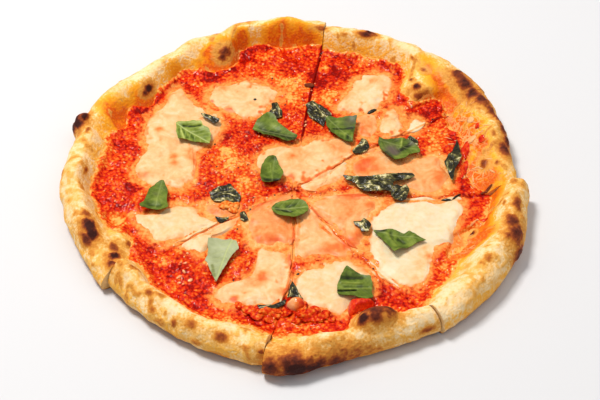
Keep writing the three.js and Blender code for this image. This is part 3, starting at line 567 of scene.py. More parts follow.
def side_of(piece, side, radius, offset):
    """Angle and radius of the points where one side of a slice reaches each radius. The side is
    its cut, straight between its bends, turned off the cut by arcsin(offset / radius)."""
    sign, turn = (-1, piece["turn"]) if side == "to" else (1, 0)
    bends = np.array(BEND_RADII, float)
    at_bends = turn + np.array(CUTS[piece[side]]) + sign * np.degrees(np.arcsin(offset / bends))
    bend_x, bend_y = polar(at_bends, bends)
    off_side = np.arcsin(np.clip(offset / radius, 0, 1))
    near = turn + CUTS[piece[side]][0] + sign * np.degrees(off_side)
    near_x, near_y = polar(near, radius)
    x = np.where(radius < bends[0], near_x, np.interp(radius, bends, bend_x))
    y = np.where(radius < bends[0], near_y, np.interp(radius, bends, bend_y))
    angle = np.degrees(np.arctan2(y, x))
    return angle + 360 * np.round((at_bends[0] - angle) / 360), np.hypot(x, y)


def on_slice(piece, share, radius, offset):
    """x and y at a share of the way round a slice, between its two sides, at each radius."""
    start, start_radius = side_of(piece, "from", radius, offset)
    end, end_radius = side_of(piece, "to", radius, offset)
    x, y = polar(mix(start, end, share), mix(start_radius, end_radius, share))
    return x + CUT_CENTRE[0], y + CUT_CENTRE[1]


def ends_of(piece):
    """The angles at which a slice starts and ends, at the crust."""
    return [side_of(piece, side, NOMINAL_RADIUS, 0)[0] for side in ("from", "to")]


def shares_round(piece, radius, step):
    """Even shares of the way round a slice, `step` apart at a radius, down a column."""
    start, end = ends_of(piece)
    return np.linspace(0, 1, int(np.radians(end - start) * radius / step) + 1)[:, None]


def crust_at(piece, share):
    """Angle, outer radius, width and height of the crust at each share of the way round: the
    slice's table, eased by a smoothstep from each of its rows to the next, with a wavy edge."""
    angle = mix(*ends_of(piece), share)
    table = np.array(piece["crust"], float)
    row = np.clip(np.searchsorted(table[:, 0], angle, side="right") - 1, 0, len(table) - 2)
    way = smoothstep(table[row, 0], table[row + 1, 0], angle)
    outer, width, height = (mix(table[row, k], table[row + 1, k], way) for k in (1, 2, 3))
    return angle, outer + 0.6 * noise(angle * 2.7, 0 * angle, 9, 81), width, height


def swell(x, y):
    """Long uneven swells, from -1 to 1: two sines, each bent by another."""
    across_x = np.sin(x / 6.3 + 1.9 * np.sin(y / 19))
    across_y = np.sin(y / 5.4 + 1.7 * np.sin(x / 15))
    return (across_x + across_y) / 2


def blister_height(x, y):
    """Bubbles in the crust: height times (1 - (d / radius)^2)^0.9, domes with a marked foot."""
    total = np.zeros(np.shape(x))
    for spot_x, spot_y, radius, height in BLISTERS:
        share = np.minimum(1, np.hypot(x - spot_x, y - spot_y) / radius)
        total += height * (1 - share**2) ** 0.9
    return total


def crust_top(depth, width, height, x, y):
    """Height of the crust at a depth in from its outer edge: a quarter ellipse up to the crest,
    then half a cosine wave down to the bed, with swells and bubbles that fade at both ends."""
    share = np.clip(depth / CRUST_CREST, 0, 1)
    outside = mix(CRUST_WAIST * height, height, np.sqrt(1 - (1 - share) ** 2))
    down = np.clip((depth - CRUST_CREST) / (width - CRUST_CREST), 0, 1)
    inside = mix(BED_THICKNESS, height, 0.5 + 0.5 * np.cos(np.pi * down))
    fade = np.clip(np.minimum(4 * depth / width, 4 * (width - depth) / width), 0, 1)
    relief = CRUST_LUMPS * swell(x, y) + blister_height(x, y)
    return np.where(depth < CRUST_CREST, outside, inside) + fade * relief


def crust_lumps(along, across):
    """Lumps and wrinkles that stand out of the crust, growing from nothing at its toe. Places are
    measured along the crust and across it, from the toe."""
    lumps = 0.85 * rough(along, across, 12, 82) + 0.35 * rough(along, across, 4, 85)
    return smoothstep(-1, 6, across) * lumps


def off_cut(x, y):
    """Distance from the nearest of the six cuts: the radius times the sine of the angle to it."""
    from_x, from_y = x - CUT_CENTRE[0], y - CUT_CENTRE[1]
    radius, angle = np.hypot(from_x, from_y), np.arctan2(from_y, from_x)
    nearest = np.full(np.shape(radius), 99.0)
    for at_bends in CUTS.values():
        turned = angle - np.radians(np.interp(radius, BEND_RADII, at_bends))
        aside = np.where(np.cos(turned) > 0, radius * np.abs(np.sin(turned)), radius)
        nearest = np.minimum(nearest, aside)
    return nearest


def where_on_pizza(x, y):
    """For each place, how far it is along the crust, its radius, and the outer radius, width and
    height of the crust beyond it."""
    from_x, from_y = x - CUT_CENTRE[0], y - CUT_CENTRE[1]
    radius = np.maximum(np.hypot(from_x, from_y), 1)
    angle = np.degrees(np.arctan2(from_y, from_x))
    crust = [np.full(radius.shape, value, float) for value in CRUST_ELSEWHERE]
    for piece in SLICES:
        start = side_of(piece, "from", radius, 0)[0]
        end = side_of(piece, "to", radius, 0)[0]
        turned = start + (angle - start) % 360
        inside = turned < end
        share = np.clip((turned - start) / (end - start), 0, 1)
        for k, value in enumerate(crust_at(piece, share)):
            crust[k] = np.where(inside, value, crust[k])
    crust_angle, outer, width, height = crust
    return np.radians(crust_angle) * NOMINAL_RADIUS, radius, outer, width, height


def dough_top(x, y):
    """Height of the dough: the flat bed, or the crust's slope with its lumps."""
    along, radius, outer, width, height = where_on_pizza(x, y)
    depth = np.maximum(outer - radius, 0)
    slope = crust_top(depth, width, height, x, y) + crust_lumps(along, width - depth)
    return np.where(depth > width, BED_THICKNESS, slope)


def pulp(x, y):
    """Lumps of pulp, from 0 to 1: two sines, each bent by another."""
    across_x = np.sin(x / 3.1 + 2.3 * np.sin(y / 11))
    across_y = np.sin(y / 2.7 + 2.1 * np.sin(x / 9))
    return (2 + across_x + across_y) / 4


def sauce_run(x, y, dough):
    """How far the sauce has run out, from 0 where it lies thick to 1 where it ends: by the
    height of the dough, with ragged lumps, and sooner where oil has soaked the crust."""
    ragged = 1.9 * rough(x, y, 11, 31) + 0.8 * rough(x, y, 3.2, 34, 2)
    by_height = (dough + ragged - SAUCE_LINE[0]) / (SAUCE_LINE[1] - SAUCE_LINE[0])
    return by_height + np.clip(1.7 * soft_spots(x, y, OILY_CRUST) - 0.6, 0, 1.6)


def sauce_level(x, y):
    """Top of the sauce without its grains: the pulp's lumps over the bed, thinning out as the
    dough rises until the sheet dips under its skin."""
    dough = dough_top(x, y)
    thick = SAUCE_FLOOR - BED_THICKNESS + SAUCE_THICKNESS - SAUCE_RELIEF * (1 - pulp(x, y))
    thick = thick + 0.35 * rough(x, y, 12, 41)
    return dough + mix(thick, -0.5, smoothstep(0, 1.3, sauce_run(x, y, dough)))


def sauce_relief(x, y):
    """Grains of tomato on the sauce: clumps, with coarse and fine grains, uneven in strength."""
    clump, clump_own = grains(x, y, CLUMP_SIZE, 47)
    coarse, which = grains(x, y, 3.3, 51)
    fine, _ = grains(x, y, 1.9, 57)
    strength = 0.6 + 0.4 * noise(x, y, 14, 61)
    relief = strength * (0.8 * coarse * (0.3 + which) + 0.45 * fine - 0.4)
    return relief + 0.9 * clump * clump_own


def sauce_top(x, y, dough, film):
    """Top of the sauce with its grains, which sink into any cheese that has run over them and
    fade out where the sheet thins."""
    level = sauce_level(x, y)
    return level + sauce_relief(x, y) * smoothstep(0, 1.5, level - dough) * (1 - 0.7 * film)


# ---------------------------------------------------------------- meshes


def make_piece(name, points, faces, material, slot, replaced=(), crease=None, **attributes):
    """Makes a mesh object of points in millimetres and arrays of faces, with one value to a
    vertex for each attribute, and joins it to the pizza's one body."""
    mesh = bpy.data.meshes.new(name)
    sizes = np.concatenate([np.full(len(group), group.shape[1]) for group in faces])
    corners = np.concatenate([group.ravel() for group in faces]).astype(np.int32)
    mesh.vertices.add(len(points))
    places = (np.asarray(points) + SHIFT_TO_MIDDLE) * MM
    mesh.vertices.foreach_set("co", places.astype(np.float32).ravel())
    mesh.loops.add(len(corners))
    mesh.loops.foreach_set("vertex_index", corners)
    mesh.polygons.add(len(sizes))
    starts = np.concatenate([[0], np.cumsum(sizes)[:-1]]).astype(np.int32)
    mesh.polygons.foreach_set("loop_start", starts)
    for key, values in attributes.items():
        layer = mesh.attributes.new(key, "FLOAT", "POINT")
        layer.data.foreach_set("value", np.asarray(values, np.float32).ravel())
    mesh.update(calc_edges=True)
    mesh.validate()
    mesh.shade_smooth()
    if crease is not None:
        mesh.set_sharp_from_angle(angle=np.radians(crease))
    mesh.materials.append(material)
    piece = bpy.data.objects.new(name, mesh)
    bpy.context.scene.collection.objects.link(piece)
    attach(piece, "root")
    if replaced:
        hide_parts(*replaced)


def grid_faces(index):
    """Four-sided faces between the neighbours in a two-way array of vertex numbers."""
    a, b, c, d = index[:-1, :-1], index[:-1, 1:], index[1:, 1:], index[1:, :-1]
    return np.stack([a, b, c, d], -1).reshape(-1, 4)


def fan(ring, middle):
    """Triangles from a closed ring of vertex numbers to one in its middle."""
    return np.stack([ring, np.roll(ring, -1), np.full(len(ring), middle)], -1)


def ringed(rings, first, last):
    """Points and faces of closed rings joined in turn, each end closed by a fan to a point."""
    rings = np.asarray(rings)
    count, sides = rings.shape[:2]
    points = np.concatenate([rings.reshape(-1, 3), [first, last]])
    index = np.arange(count * sides).reshape(count, sides)
    index = np.concatenate([index, index[:, :1]], 1)
    start = fan(index[0, :-1], count * sides)[:, ::-1]
    end = fan(index[-1, :-1], count * sides + 1)
    return points, [grid_faces(index), start, end]


def padded(values, count, rest=0):
    """One value to a vertex: the given ones, then `rest` up to a count."""
    return np.concatenate([values.ravel(), np.full(count - values.size, float(rest))])


def drawn_in(edge, middle, share):
    """x and y of an outline drawn in to its middle: a share of 1 is the outline itself."""
    return [mix(middle[k], edge[None, :, k], share) for k in (0, 1)]


def closed_curve(points, step):
    """Evenly spaced points about `step` apart on a closed Catmull-Rom curve."""
    points = np.asarray(points, float)
    before, after, beyond = (np.roll(points, k, 0)[:, None] for k in (1, -1, -2))
    here = points[:, None]
    t = np.linspace(0, 1, 24, endpoint=False)[None, :, None]
    curve = 0.5 * (2 * here + (after - before) * t
                   + (2 * before - 5 * here + 4 * after - beyond) * t**2
                   + (3 * here - before - 3 * after + beyond) * t**3)
    return evenly(curve.reshape(-1, 2), step)


def evenly(points, step):
    """Points `step` apart along a closed line through the given ones, anticlockwise."""
    x, y = points.T
    if np.sum(x * np.roll(y, -1) - y * np.roll(x, -1)) < 0:
        points = points[::-1]
    closed = np.concatenate([points, points[:1]])
    along = np.concatenate([[0], np.cumsum(np.hypot(*np.diff(closed, axis=0).T))])
    places = np.linspace(0, along[-1], int(along[-1] / step), endpoint=False)
    return np.stack([np.interp(places, along, closed[:, k]) for k in (0, 1)], -1)


def outline_of(node):
    """The outline of a solid topping: the vertices of its flat base, in order round it."""
    vertices = np.array([v.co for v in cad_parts[node].data.vertices]) / MM - SHIFT_TO_MIDDLE
    base = vertices[:, 2].min()
    foot = np.unique(np.round(vertices[vertices[:, 2] < base + 0.01, :2], 2), axis=0)
    from_middle = foot - foot.mean(0)
    is_edge = np.hypot(*from_middle.T) > 1
    order = np.argsort(np.arctan2(from_middle[is_edge, 1], from_middle[is_edge, 0]))
    return foot[is_edge][order]


# ---------------------------------------------------------------- materials


def linear(colour):
    """An sRGB hex colour as a linear colour with alpha."""
    values = np.array([int(colour[k:k + 2], 16) for k in (1, 3, 5)]) / 255
    low, high = values / 12.92, ((values + 0.055) / 1.055) ** 2.4
    return (*np.where(values <= 0.04045, low, high), 1)


def new_material(name):
    """An empty material: its node tree, with an output."""
    material = bpy.data.materials.new(name)
    material.use_nodes = True
    material.node_tree.nodes.clear()
    return material, material.node_tree


def add(tree, kind, inputs=None, stops=None, **settings):
    """Adds one shader node. inputs gives an input's name or number what feeds it, or its value,
    stops gives a ramp its places and hex colours, and settings are the node's own."""
    node = tree.nodes.new("ShaderNode" + kind)
    for name, value in settings.items():
        setattr(node, name, value)
    for name, value in (inputs or {}).items():
        socket = node.inputs[name]
        if isinstance(value, bpy.types.NodeSocket):
            tree.links.new(value, socket)
        elif isinstance(value, str):
            socket.default_value = linear(value)
        else:
            socket.default_value = value
    if stops:
        ramp = node.color_ramp.elements
        while len(ramp) < len(stops):
            ramp.new(1)
        for element, (place, colour) in zip(ramp, stops):
            element.position = place
            element.color = linear(colour)
    return node


def finish_material(tree, **inputs):
    """Adds the surface shader with its inputs, and the output."""
    names = {name: name.replace("_", " ") for name in inputs}
    shader = add(tree, "BsdfPrincipled", {names[k]: inputs[k] for k in inputs})
    add(tree, "OutputMaterial", {"Surface": shader.outputs[0]})


def baked_dough():
    """Wheat dough baked hard and fast on stone: matt and floury, gold where it rose, brown to
    black where it blistered, and orange and oily where the sauce boiled over it."""
    material, tree = new_material("baked_dough")
    place = add(tree, "TexCoord").outputs["Object"]
    char, stain, crumb, bake, shreds = (
        add(tree, "Attribute", attribute_name=name).outputs["Fac"]
        for name in ("char", "stain", "crumb", "bake", "shreds"))
    # Flecks 5 mm and 1.6 mm apart break up every edge of colour.
    wide, fine = (
        add(tree, "TexNoise", {"Vector": place, "Scale": 1 / (size * MM), "Detail": 3.0}).outputs[0]
        for size in (5, 1.6))
    flecks = add(tree, "Math", {0: wide, 1: fine}, operation="ADD").outputs[0]
    flecks = add(tree, "Math", {0: flecks, 1: 1.0}, operation="SUBTRACT").outputs[0]
    baked = add(tree, "Math", {0: flecks, 1: 0.5, 2: bake}, operation="MULTIPLY_ADD").outputs[0]
    skin = add(tree, "ValToRGB", {"Fac": baked}, stops=(
        (0.05, "#f3d9ac"), (0.3, "#f3cb90"), (0.5, "#edb25e"), (0.72, "#de9030"),
        (1.0, "#ac5e1a"))).outputs[0]
    stained = add(tree, "Math", {0: flecks, 1: 0.7, 2: stain}, operation="MULTIPLY_ADD",
                  use_clamp=True).outputs[0]
    oil = add(tree, "ValToRGB", {"Fac": stained}, stops=(
        (0.2, "#f5bc5a"), (0.45, "#f6a826"), (0.65, "#f39816"), (0.85, "#ec7e10"),
        (1.0, "#dc5a0c"))).outputs[0]
    # Threads of cheese have dried on the oily skin in a crooked net, 4.2 mm from one to the next.
    crooked = add(tree, "TexNoise", {"Vector": place, "Scale": 1 / (7 * MM)}).outputs[1]
    crooked = add(tree, "VectorMath", {0: crooked, 1: (8 * MM, 8 * MM, 8 * MM), 2: place},
                  operation="MULTIPLY_ADD").outputs[0]
    net = add(tree, "TexVoronoi", {"Vector": crooked, "Scale": 1 / (4.2 * MM)},
              feature="DISTANCE_TO_EDGE").outputs["Distance"]
    thread = add(tree, "MapRange", {"Value": net, "From Min": 0.12, "From Max": 0.0,
                                    "To Max": 0.6}).outputs[0]
    thread = add(tree, "Math", {0: thread, 1: shreds}, operation="MULTIPLY").outputs[0]
    oil = add(tree, "Mix", {0: thread, 6: oil, 7: "#f9d894"}, data_type="RGBA").outputs[2]
    how_oily = add(tree, "MapRange", {"Value": stained, "From Min": 0.05, "From Max": 0.4},
                   interpolation_type="SMOOTHSTEP").outputs[0]
    charred = add(tree, "Math", {0: flecks, 1: 0.35, 2: char}, operation="MULTIPLY_ADD").outputs[0]
    burn = add(tree, "ValToRGB", {"Fac": charred}, stops=(
        (0.1, "#ebb256"), (0.32, "#d08430"), (0.55, "#a04e1e"), (0.78, "#6a2c18"),
        (1.0, "#3a1712"))).outputs[0]
    how_burnt = add(tree, "MapRange", {"Value": charred, "From Min": 0.0, "From Max": 0.25},
                    interpolation_type="SMOOTHSTEP").outputs[0]
    inside = add(tree, "ValToRGB", {"Fac": wide}, stops=(
        (0.35, "#d8a660"), (0.6, "#ecc78c"))).outputs[0]
    for share, layer in ((how_oily, oil), (how_burnt, burn), (crumb, inside)):
        skin = add(tree, "Mix", {0: share, 6: skin, 7: layer}, data_type="RGBA").outputs[2]
    roughness = add(tree, "MapRange", {"Value": stained, "To Min": 0.8, "To Max": 0.34}).outputs[0]
    bumps = add(tree, "Bump", {"Height": flecks, "Strength": 0.8, "Distance": 0.8 * MM}).outputs[0]
    finish_material(tree, Base_Color=skin, Roughness=roughness, Normal=bumps,
                    Specular_IOR_Level=0.15)
    return material


def tomato_sauce():
    """Crushed tomato baked with oil: wet grains of pulp, deep red between them, and orange where
    oil and cheese have run in."""
    material, tree = new_material("tomato_sauce")
    place = add(tree, "TexCoord").outputs["Object"]
    oil, film = (add(tree, "Attribute", attribute_name=name).outputs["Fac"]
                 for name in ("oil", "film"))
    wide, fine = (
        add(tree, "TexNoise", {"Vector": place, "Scale": 1 / (size * MM), "Detail": detail})
        .outputs[0] for size, detail in ((9, 2.0), (2, 4.0)))
    # Grains of pulp 2.2 mm apart, each of its own tint, dark in the gaps between them.
    cells = add(tree, "TexVoronoi", {"Vector": place, "Scale": 1 / (2.2 * MM)}).outputs
    own = add(tree, "SeparateColor", {"Color": cells["Color"]}).outputs[0]
    tint = oil
    for value, strength in ((own, 0.3), (fine, 1.1), (wide, 0.6), (cells["Distance"], -0.6)):
        tint = add(tree, "Math", {0: value, 1: strength, 2: tint},
                   operation="MULTIPLY_ADD").outputs[0]
    tint = add(tree, "Math", {0: tint, 1: 0.7}, operation="SUBTRACT").outputs[0]
    colour = add(tree, "ValToRGB", {"Fac": tint}, stops=(
        (0.0, "#840600"), (0.18, "#b61404"), (0.38, "#d22c06"), (0.56, "#dc5010"),
        (0.76, "#e67826"), (1.0, "#eeaa56"))).outputs[0]
    # Cheese in it turns it milky, in the same grains.
    milky = film
    for value, strength in ((fine, 0.9), (own, 0.2), (wide, 0.7)):
        milky = add(tree, "Math", {0: value, 1: strength, 2: milky},
                    operation="MULTIPLY_ADD").outputs[0]
    milky = add(tree, "MapRange", {"Value": milky, "From Min": 0.95, "From Max": 2.35}).outputs[0]
    covered = add(tree, "MapRange", {"Value": milky, "From Min": 0.04, "From Max": 0.56},
                  interpolation_type="SMOOTHSTEP").outputs[0]
    milk = add(tree, "ValToRGB", {"Fac": milky}, stops=(
        (0.1, "#dc4c18"), (0.35, "#e46e2c"), (0.55, "#ea8c40"), (0.75, "#eea860"),
        (1.0, "#f2cc96"))).outputs[0]
    colour = add(tree, "Mix", {0: covered, 6: colour, 7: milk}, data_type="RGBA").outputs[2]
    domes = add(tree, "Math", {0: fine, 1: cells["Distance"]}, operation="SUBTRACT").outputs[0]
    bumps = add(tree, "Bump", {"Height": domes, "Strength": 0.7, "Distance": 0.7 * MM}).outputs[0]
    finish_material(tree, Base_Color=colour, Roughness=0.24, Normal=bumps, IOR=1.4,
                    Specular_IOR_Level=0.06, Coat_Weight=0.13, Coat_Roughness=0.05)
    return material


def melted_mozzarella():
    """Melted mozzarella: smooth, satin and faintly see-through, cream in the middle of a patch and
    stained peach and orange by tomato where it is thin."""
    material, tree = new_material("melted_mozzarella")
    place = add(tree, "TexCoord").outputs["Object"]
    oil, thin = (add(tree, "Attribute", attribute_name=name).outputs["Fac"]
                 for name in ("oil", "thin"))
    # Blotches 13 mm wide, drawn out as the cheese ran, and broken up by ones of 3 mm.
    wide = add(tree, "TexNoise", {"Vector": place, "Scale": 1 / (13 * MM), "Detail": 4.0,
                                  "Distortion": 1.6}).outputs[0]
    fine = add(tree, "TexNoise", {"Vector": place, "Scale": 1 / (3 * MM), "Detail": 4.0}).outputs[0]
    blotches = add(tree, "Math", {0: fine, 1: 0.5, 2: wide}, operation="MULTIPLY_ADD").outputs[0]
    blotches = add(tree, "Math", {0: blotches, 1: 0.75}, operation="SUBTRACT").outputs[0]
    soaked, edge = (
        add(tree, "Math", {0: blotches, 1: 0.9, 2: value}, operation="MULTIPLY_ADD").outputs[0]
        for value in (oil, thin))
    soaked = add(tree, "MapRange", {"Value": soaked, "From Min": -0.5, "From Max": 1.1}).outputs[0]
    colour = add(tree, "ValToRGB", {"Fac": soaked}, stops=(
        (0.0, "#e0d6c0"), (0.22, "#e0cda8"), (0.4, "#e4bc88"), (0.58, "#e8a062"),
        (0.78, "#e47a38"), (1.0, "#d85a22"))).outputs[0]
    edge_colour = add(tree, "ValToRGB", {"Fac": edge}, stops=(
        (0.35, "#e8b07a"), (0.7, "#e8904c"), (1.0, "#e4702a"))).outputs[0]
    how_thin = add(tree, "MapRange", {"Value": edge, "From Min": 0.2, "From Max": 0.95},
                   interpolation_type="SMOOTHSTEP").outputs[0]
    colour = add(tree, "Mix", {0: how_thin, 6: colour, 7: edge_colour}, data_type="RGBA").outputs[2]
    bumps = add(tree, "Bump", {"Height": fine, "Strength": 0.25, "Distance": 0.6 * MM}).outputs[0]
    finish_material(tree, Base_Color=colour, Roughness=0.4, Normal=bumps, IOR=1.45,
                    Specular_IOR_Level=0.24, Subsurface_Weight=0.15, Subsurface_Scale=2 * MM,
                    Subsurface_Radius=(1.0, 0.6, 0.3))
    return material


def tomato_flesh():
    """A soft lump of peeled tomato: wet, red, with orange strands, and paler where cheese clings
    to it."""
    material, tree = new_material("tomato_flesh")
    place = add(tree, "TexCoord").outputs["Object"]
    pale = add(tree, "Attribute", attribute_name="pale").outputs["Fac"]
    # Strands and flecks 3 mm apart.
    fine = add(tree, "TexNoise", {"Vector": place, "Scale": 1 / (3 * MM), "Detail": 4.0}).outputs[0]
    colour = add(tree, "ValToRGB", {"Fac": fine}, stops=(
        (0.3, "#b41006"), (0.5, "#d4260c"), (0.7, "#e4561c"))).outputs[0]
    clinging = add(tree, "ValToRGB", {"Fac": pale}, stops=(
        (0.3, "#dc541a"), (0.65, "#e6803a"), (1.0, "#f0c48c"))).outputs[0]
    how_pale = add(tree, "Math", {0: fine, 1: 0.8, 2: pale}, operation="MULTIPLY_ADD").outputs[0]
    how_pale = add(tree, "MapRange", {"Value": how_pale, "From Min": 0.6,
                                      "From Max": 0.9}).outputs[0]
    colour = add(tree, "Mix", {0: how_pale, 6: colour, 7: clinging}, data_type="RGBA").outputs[2]
    bumps = add(tree, "Bump", {"Height": fine, "Strength": 0.4, "Distance": 0.6 * MM}).outputs[0]
    finish_material(tree, Base_Color=colour, Roughness=0.22, Normal=bumps, IOR=1.4,
                    Specular_IOR_Level=0.2, Subsurface_Weight=0.1, Subsurface_Scale=3 * MM,
                    Subsurface_Radius=(1.0, 0.25, 0.1), Coat_Weight=0.2, Coat_Roughness=0.08)
    return material


def fresh_basil():
    """Fresh basil leaf: satin green with pale veins, painted shade in its sunk creases and painted
    light on its raised ones, a greyer green underneath, and purple-brown in withered spots."""
    material, tree = new_material("fresh_basil")
    place = add(tree, "TexCoord").outputs["Object"]
    vein, tone, under, wilt = (add(tree, "Attribute", attribute_name=name).outputs["Fac"]
                               for name in ("vein", "tone", "under", "wilt"))
    # Mottling 3 mm wide.
    fine = add(tree, "TexNoise", {"Vector": place, "Scale": 1 / (3 * MM), "Detail": 4.0}).outputs[0]
    shade = add(tree, "Math", {0: fine, 1: 0.5, 2: tone}, operation="MULTIPLY_ADD").outputs[0]
    shade = add(tree, "Math", {0: shade, 1: 0.25}, operation="SUBTRACT").outputs[0]
    green = add(tree, "ValToRGB", {"Fac": shade}, stops=(
        (0.0, "#161b07"), (0.25, "#2f3d10"), (0.5, "#57691f"), (0.75, "#7c8a34"),
        (1.0, "#aab45e"))).outputs[0]
    back = add(tree, "ValToRGB", {"Fac": shade}, stops=(
        (0.3, "#7c8250"), (0.7, "#a4aa80"), (1.0, "#b6ba96"))).outputs[0]
    veined = add(tree, "Math", {0: vein, 1: 0.6}, operation="MULTIPLY", use_clamp=True).outputs[0]
    colour = green
    # Withered spots are purple-brown, and on one leaf they also paint the shade of its folded
    # hollow.
    for share, layer in ((under, back), (wilt, "#5e5246"), (veined, "#c0c87a")):
        colour = add(tree, "Mix", {0: share, 6: colour, 7: layer}, data_type="RGBA").outputs[2]
    bumps = add(tree, "Bump", {"Height": fine, "Strength": 0.25, "Distance": 0.5 * MM}).outputs[0]
    finish_material(tree, Base_Color=colour, Roughness=0.38, Normal=bumps, IOR=1.42,
                    Specular_IOR_Level=0.22)
    return material


def cooked_basil():
    """Basil that went through the oven: shrunk, nearly black, oily, painted paler on the tops of
    its folds, up to painted pale glints on their edges."""
    material, tree = new_material("cooked_basil")
    place = add(tree, "TexCoord").outputs["Object"]
    ridge = add(tree, "Attribute", attribute_name="ridge").outputs["Fac"]
    # Crumpled skin, 1.5 mm from crease to crease.
    fine = add(tree, "TexNoise", {"Vector": place, "Scale": 1 / (1.5 * MM),
                                  "Detail": 3.0}).outputs[0]
    high = add(tree, "Math", {0: fine, 1: 0.7, 2: ridge}, operation="MULTIPLY_ADD").outputs[0]
    high = add(tree, "Math", {0: high, 1: 0.35}, operation="SUBTRACT").outputs[0]
    # The ramp paints light: paler on the ridges of the folds, and painted glints on the highest.
    colour = add(tree, "ValToRGB", {"Fac": high}, stops=(
        (0.2, "#1a180a"), (0.45, "#322e16"), (0.62, "#565226"), (0.76, "#8c8450"),
        (0.9, "#dccf9a"))).outputs[0]
    bumps = add(tree, "Bump", {"Height": fine, "Strength": 0.5, "Distance": 0.5 * MM}).outputs[0]
    finish_material(tree, Base_Color=colour, Roughness=0.3, Normal=bumps, IOR=1.45,
                    Specular_IOR_Level=0.3, Coat_Weight=0.12, Coat_Roughness=0.1)
    return material


def tomato_seed():
    """Tomato seeds and specks of pulp: wet and half clear, from pink to straw."""
    material, tree = new_material("tomato_seed")
    place = add(tree, "TexCoord").outputs["Object"]
    # Each speck is a colour of its own, as the noise is 6 mm wide and a speck under 2 mm.
    wide = add(tree, "TexNoise", {"Vector": place, "Scale": 1 / (6 * MM), "Detail": 2.0}).outputs[0]
    colour = add(tree, "ValToRGB", {"Fac": wide}, stops=(
        (0.35, "#d8481c"), (0.5, "#ea8450"), (0.65, "#f4c08c"))).outputs[0]
    finish_material(tree, Base_Color=colour, Roughness=0.2, IOR=1.4, Specular_IOR_Level=0.4,
                    Subsurface_Weight=0.2, Subsurface_Scale=1 * MM)
    return material


def white_paper():
    """The pale ground of a studio table: matt and even."""
    material, tree = new_material("white_paper")
    finish_material(tree, Base_Color="#d6d6d8", Roughness=0.9)
    return material


# ---------------------------------------------------------------- dough


def scorch_at(x, y, z):
    """How burnt the crust is: for each scorch, its darkness times a smoothstep of the distance,
    measured in half lengths along the crust and half widths across it, with ragged edges."""
    ragged = 0.3 * rough(x + z, y - z, 6, 71) + 0.2 * rough(x - z, y + z, 2.2, 74, 2)
    total = np.zeros(x.shape)
    spots = np.array(SCORCHES, float)
    heights = dough_top(spots[:, 0], spots[:, 1])
    for (spot_x, spot_y, along, across, dark), spot_z in zip(SCORCHES, heights):
        turn = np.arctan2(spot_y - CUT_CENTRE[1], spot_x - CUT_CENTRE[0])
        to_x, to_y, to_z = x - spot_x, y - spot_y, z - spot_z
        round_crust = to_y * np.cos(turn) - to_x * np.sin(turn)
        aside = np.sqrt(np.maximum(to_x**2 + to_y**2 + to_z**2 - round_crust**2, 0))
        distance = np.hypot(round_crust / along, aside / across) + ragged
        halo = 0.32 * smoothstep(2.4, 0.9, distance) * min(dark, 1)
        total = np.maximum(total, np.maximum(dark * smoothstep(1.4, 0.1, distance), halo))
    return total


def baked_spots(along, across):
    """Soft golden spots where the skin rose, from 0 to 1: the tops of noise at two sizes."""
    wide = smoothstep(0.05, 0.75, rough(along, across, 7, 91, 2))
    small = smoothstep(0.1, 0.7, noise(along, across, 3.4, 93))
    return np.clip(wide + 0.6 * small * smoothstep(-0.5, 0.3, noise(along, across, 20, 94)), 0, 1)


def dough_sections(piece):
    """The skin of one slice, in sections across it: x, y, z and the places along the crust and
    across it from its toe, and how many rows there are down to the waist. A section runs out over
    the bed and the crust to the waist, then back underneath at the same radii. Lumps stand
    straight up on the slope, and round the outside along its normal."""
    share = shares_round(piece, NOMINAL_RADIUS, DOUGH_STEP)
    angle, outer, width, height = crust_at(piece, share)
    along = np.radians(angle) * NOMINAL_RADIUS
    waist = CRUST_WAIST * height
    bed = mix(DOUGH_TIP, outer - width, np.array([BED_ROWS]))
    slope = outer - width + (width - CRUST_CREST) * np.linspace(0, 1, SLOPE_ROWS)[None, :]
    turned = np.linspace(np.pi / 2, 0, OUTSIDE_ROWS + 1)[None, 1:]
    outside = outer - CRUST_CREST * (1 - np.cos(turned))
    radius = np.concatenate([bed, slope, outside], 1)
    rows = radius.shape[1]
    first_slope, first_outside = bed.shape[1], bed.shape[1] + slope.shape[1]
    depth = outer - radius
    x, y = on_slice(piece, share, radius, CUT_WIDTH / 2)
    z = np.where(depth > width, BED_THICKNESS, crust_top(depth, width, height, x, y))
    across = np.where(depth < CRUST_CREST, 0, width - depth)
    across[:, first_outside:] = width - CRUST_CREST + CRUST_ARC * (np.pi / 2 - turned)
    # Burnt and golden spots are bubbles: they stand out further.
    baked = baked_spots(along + 0 * z, across)
    raised = 1.0 * smoothstep(0.2, 0.9, scorch_at(x, y, z)) + 0.5 * baked
    lumps = crust_lumps(along + 0 * z, across) + raised * smoothstep(8, 14, across)
    lumps = np.where(np.arange(rows) < first_slope, 0, lumps)
    out = np.zeros(z.shape)
    out[:, first_outside:] = np.cos(turned) / CRUST_CREST * (height - waist)
    up = np.ones(z.shape)
    up[:, first_outside:] = np.sin(turned)
    steep = np.hypot(out, up)
    # The underside: tucked in below the waist, then flat, with shallow dimples.
    under = radius[:, -2::-1]
    tuck = np.arccos(np.clip(1 - (outer - under) / CRUST_FOOT, 0, 1))
    across_under = width - CRUST_CREST + CRUST_ARC * np.pi / 2 + FOOT_ARC * tuck
    lumps_under = crust_lumps(along + 0 * tuck, across_under) * smoothstep(1.4, 0.4, tuck)
    z_under = np.maximum(waist * (1 - np.sin(tuck)) - lumps_under * np.sin(tuck), 0)
    dimple = 0.6 * np.clip(rough(*on_slice(piece, share, under, 0), 7, 87), 0, 1)
    z_under = z_under + dimple * (tuck > 1.5)
    radius = np.concatenate([radius + lumps * out / steep, under + lumps_under * np.cos(tuck)], 1)
    x, y = on_slice(piece, share, radius, CUT_WIDTH / 2)
    z = np.concatenate([z + lumps * up / steep, z_under], 1)
    return x, y, z, along + 0 * z, np.concatenate([across, across_under], 1), rows


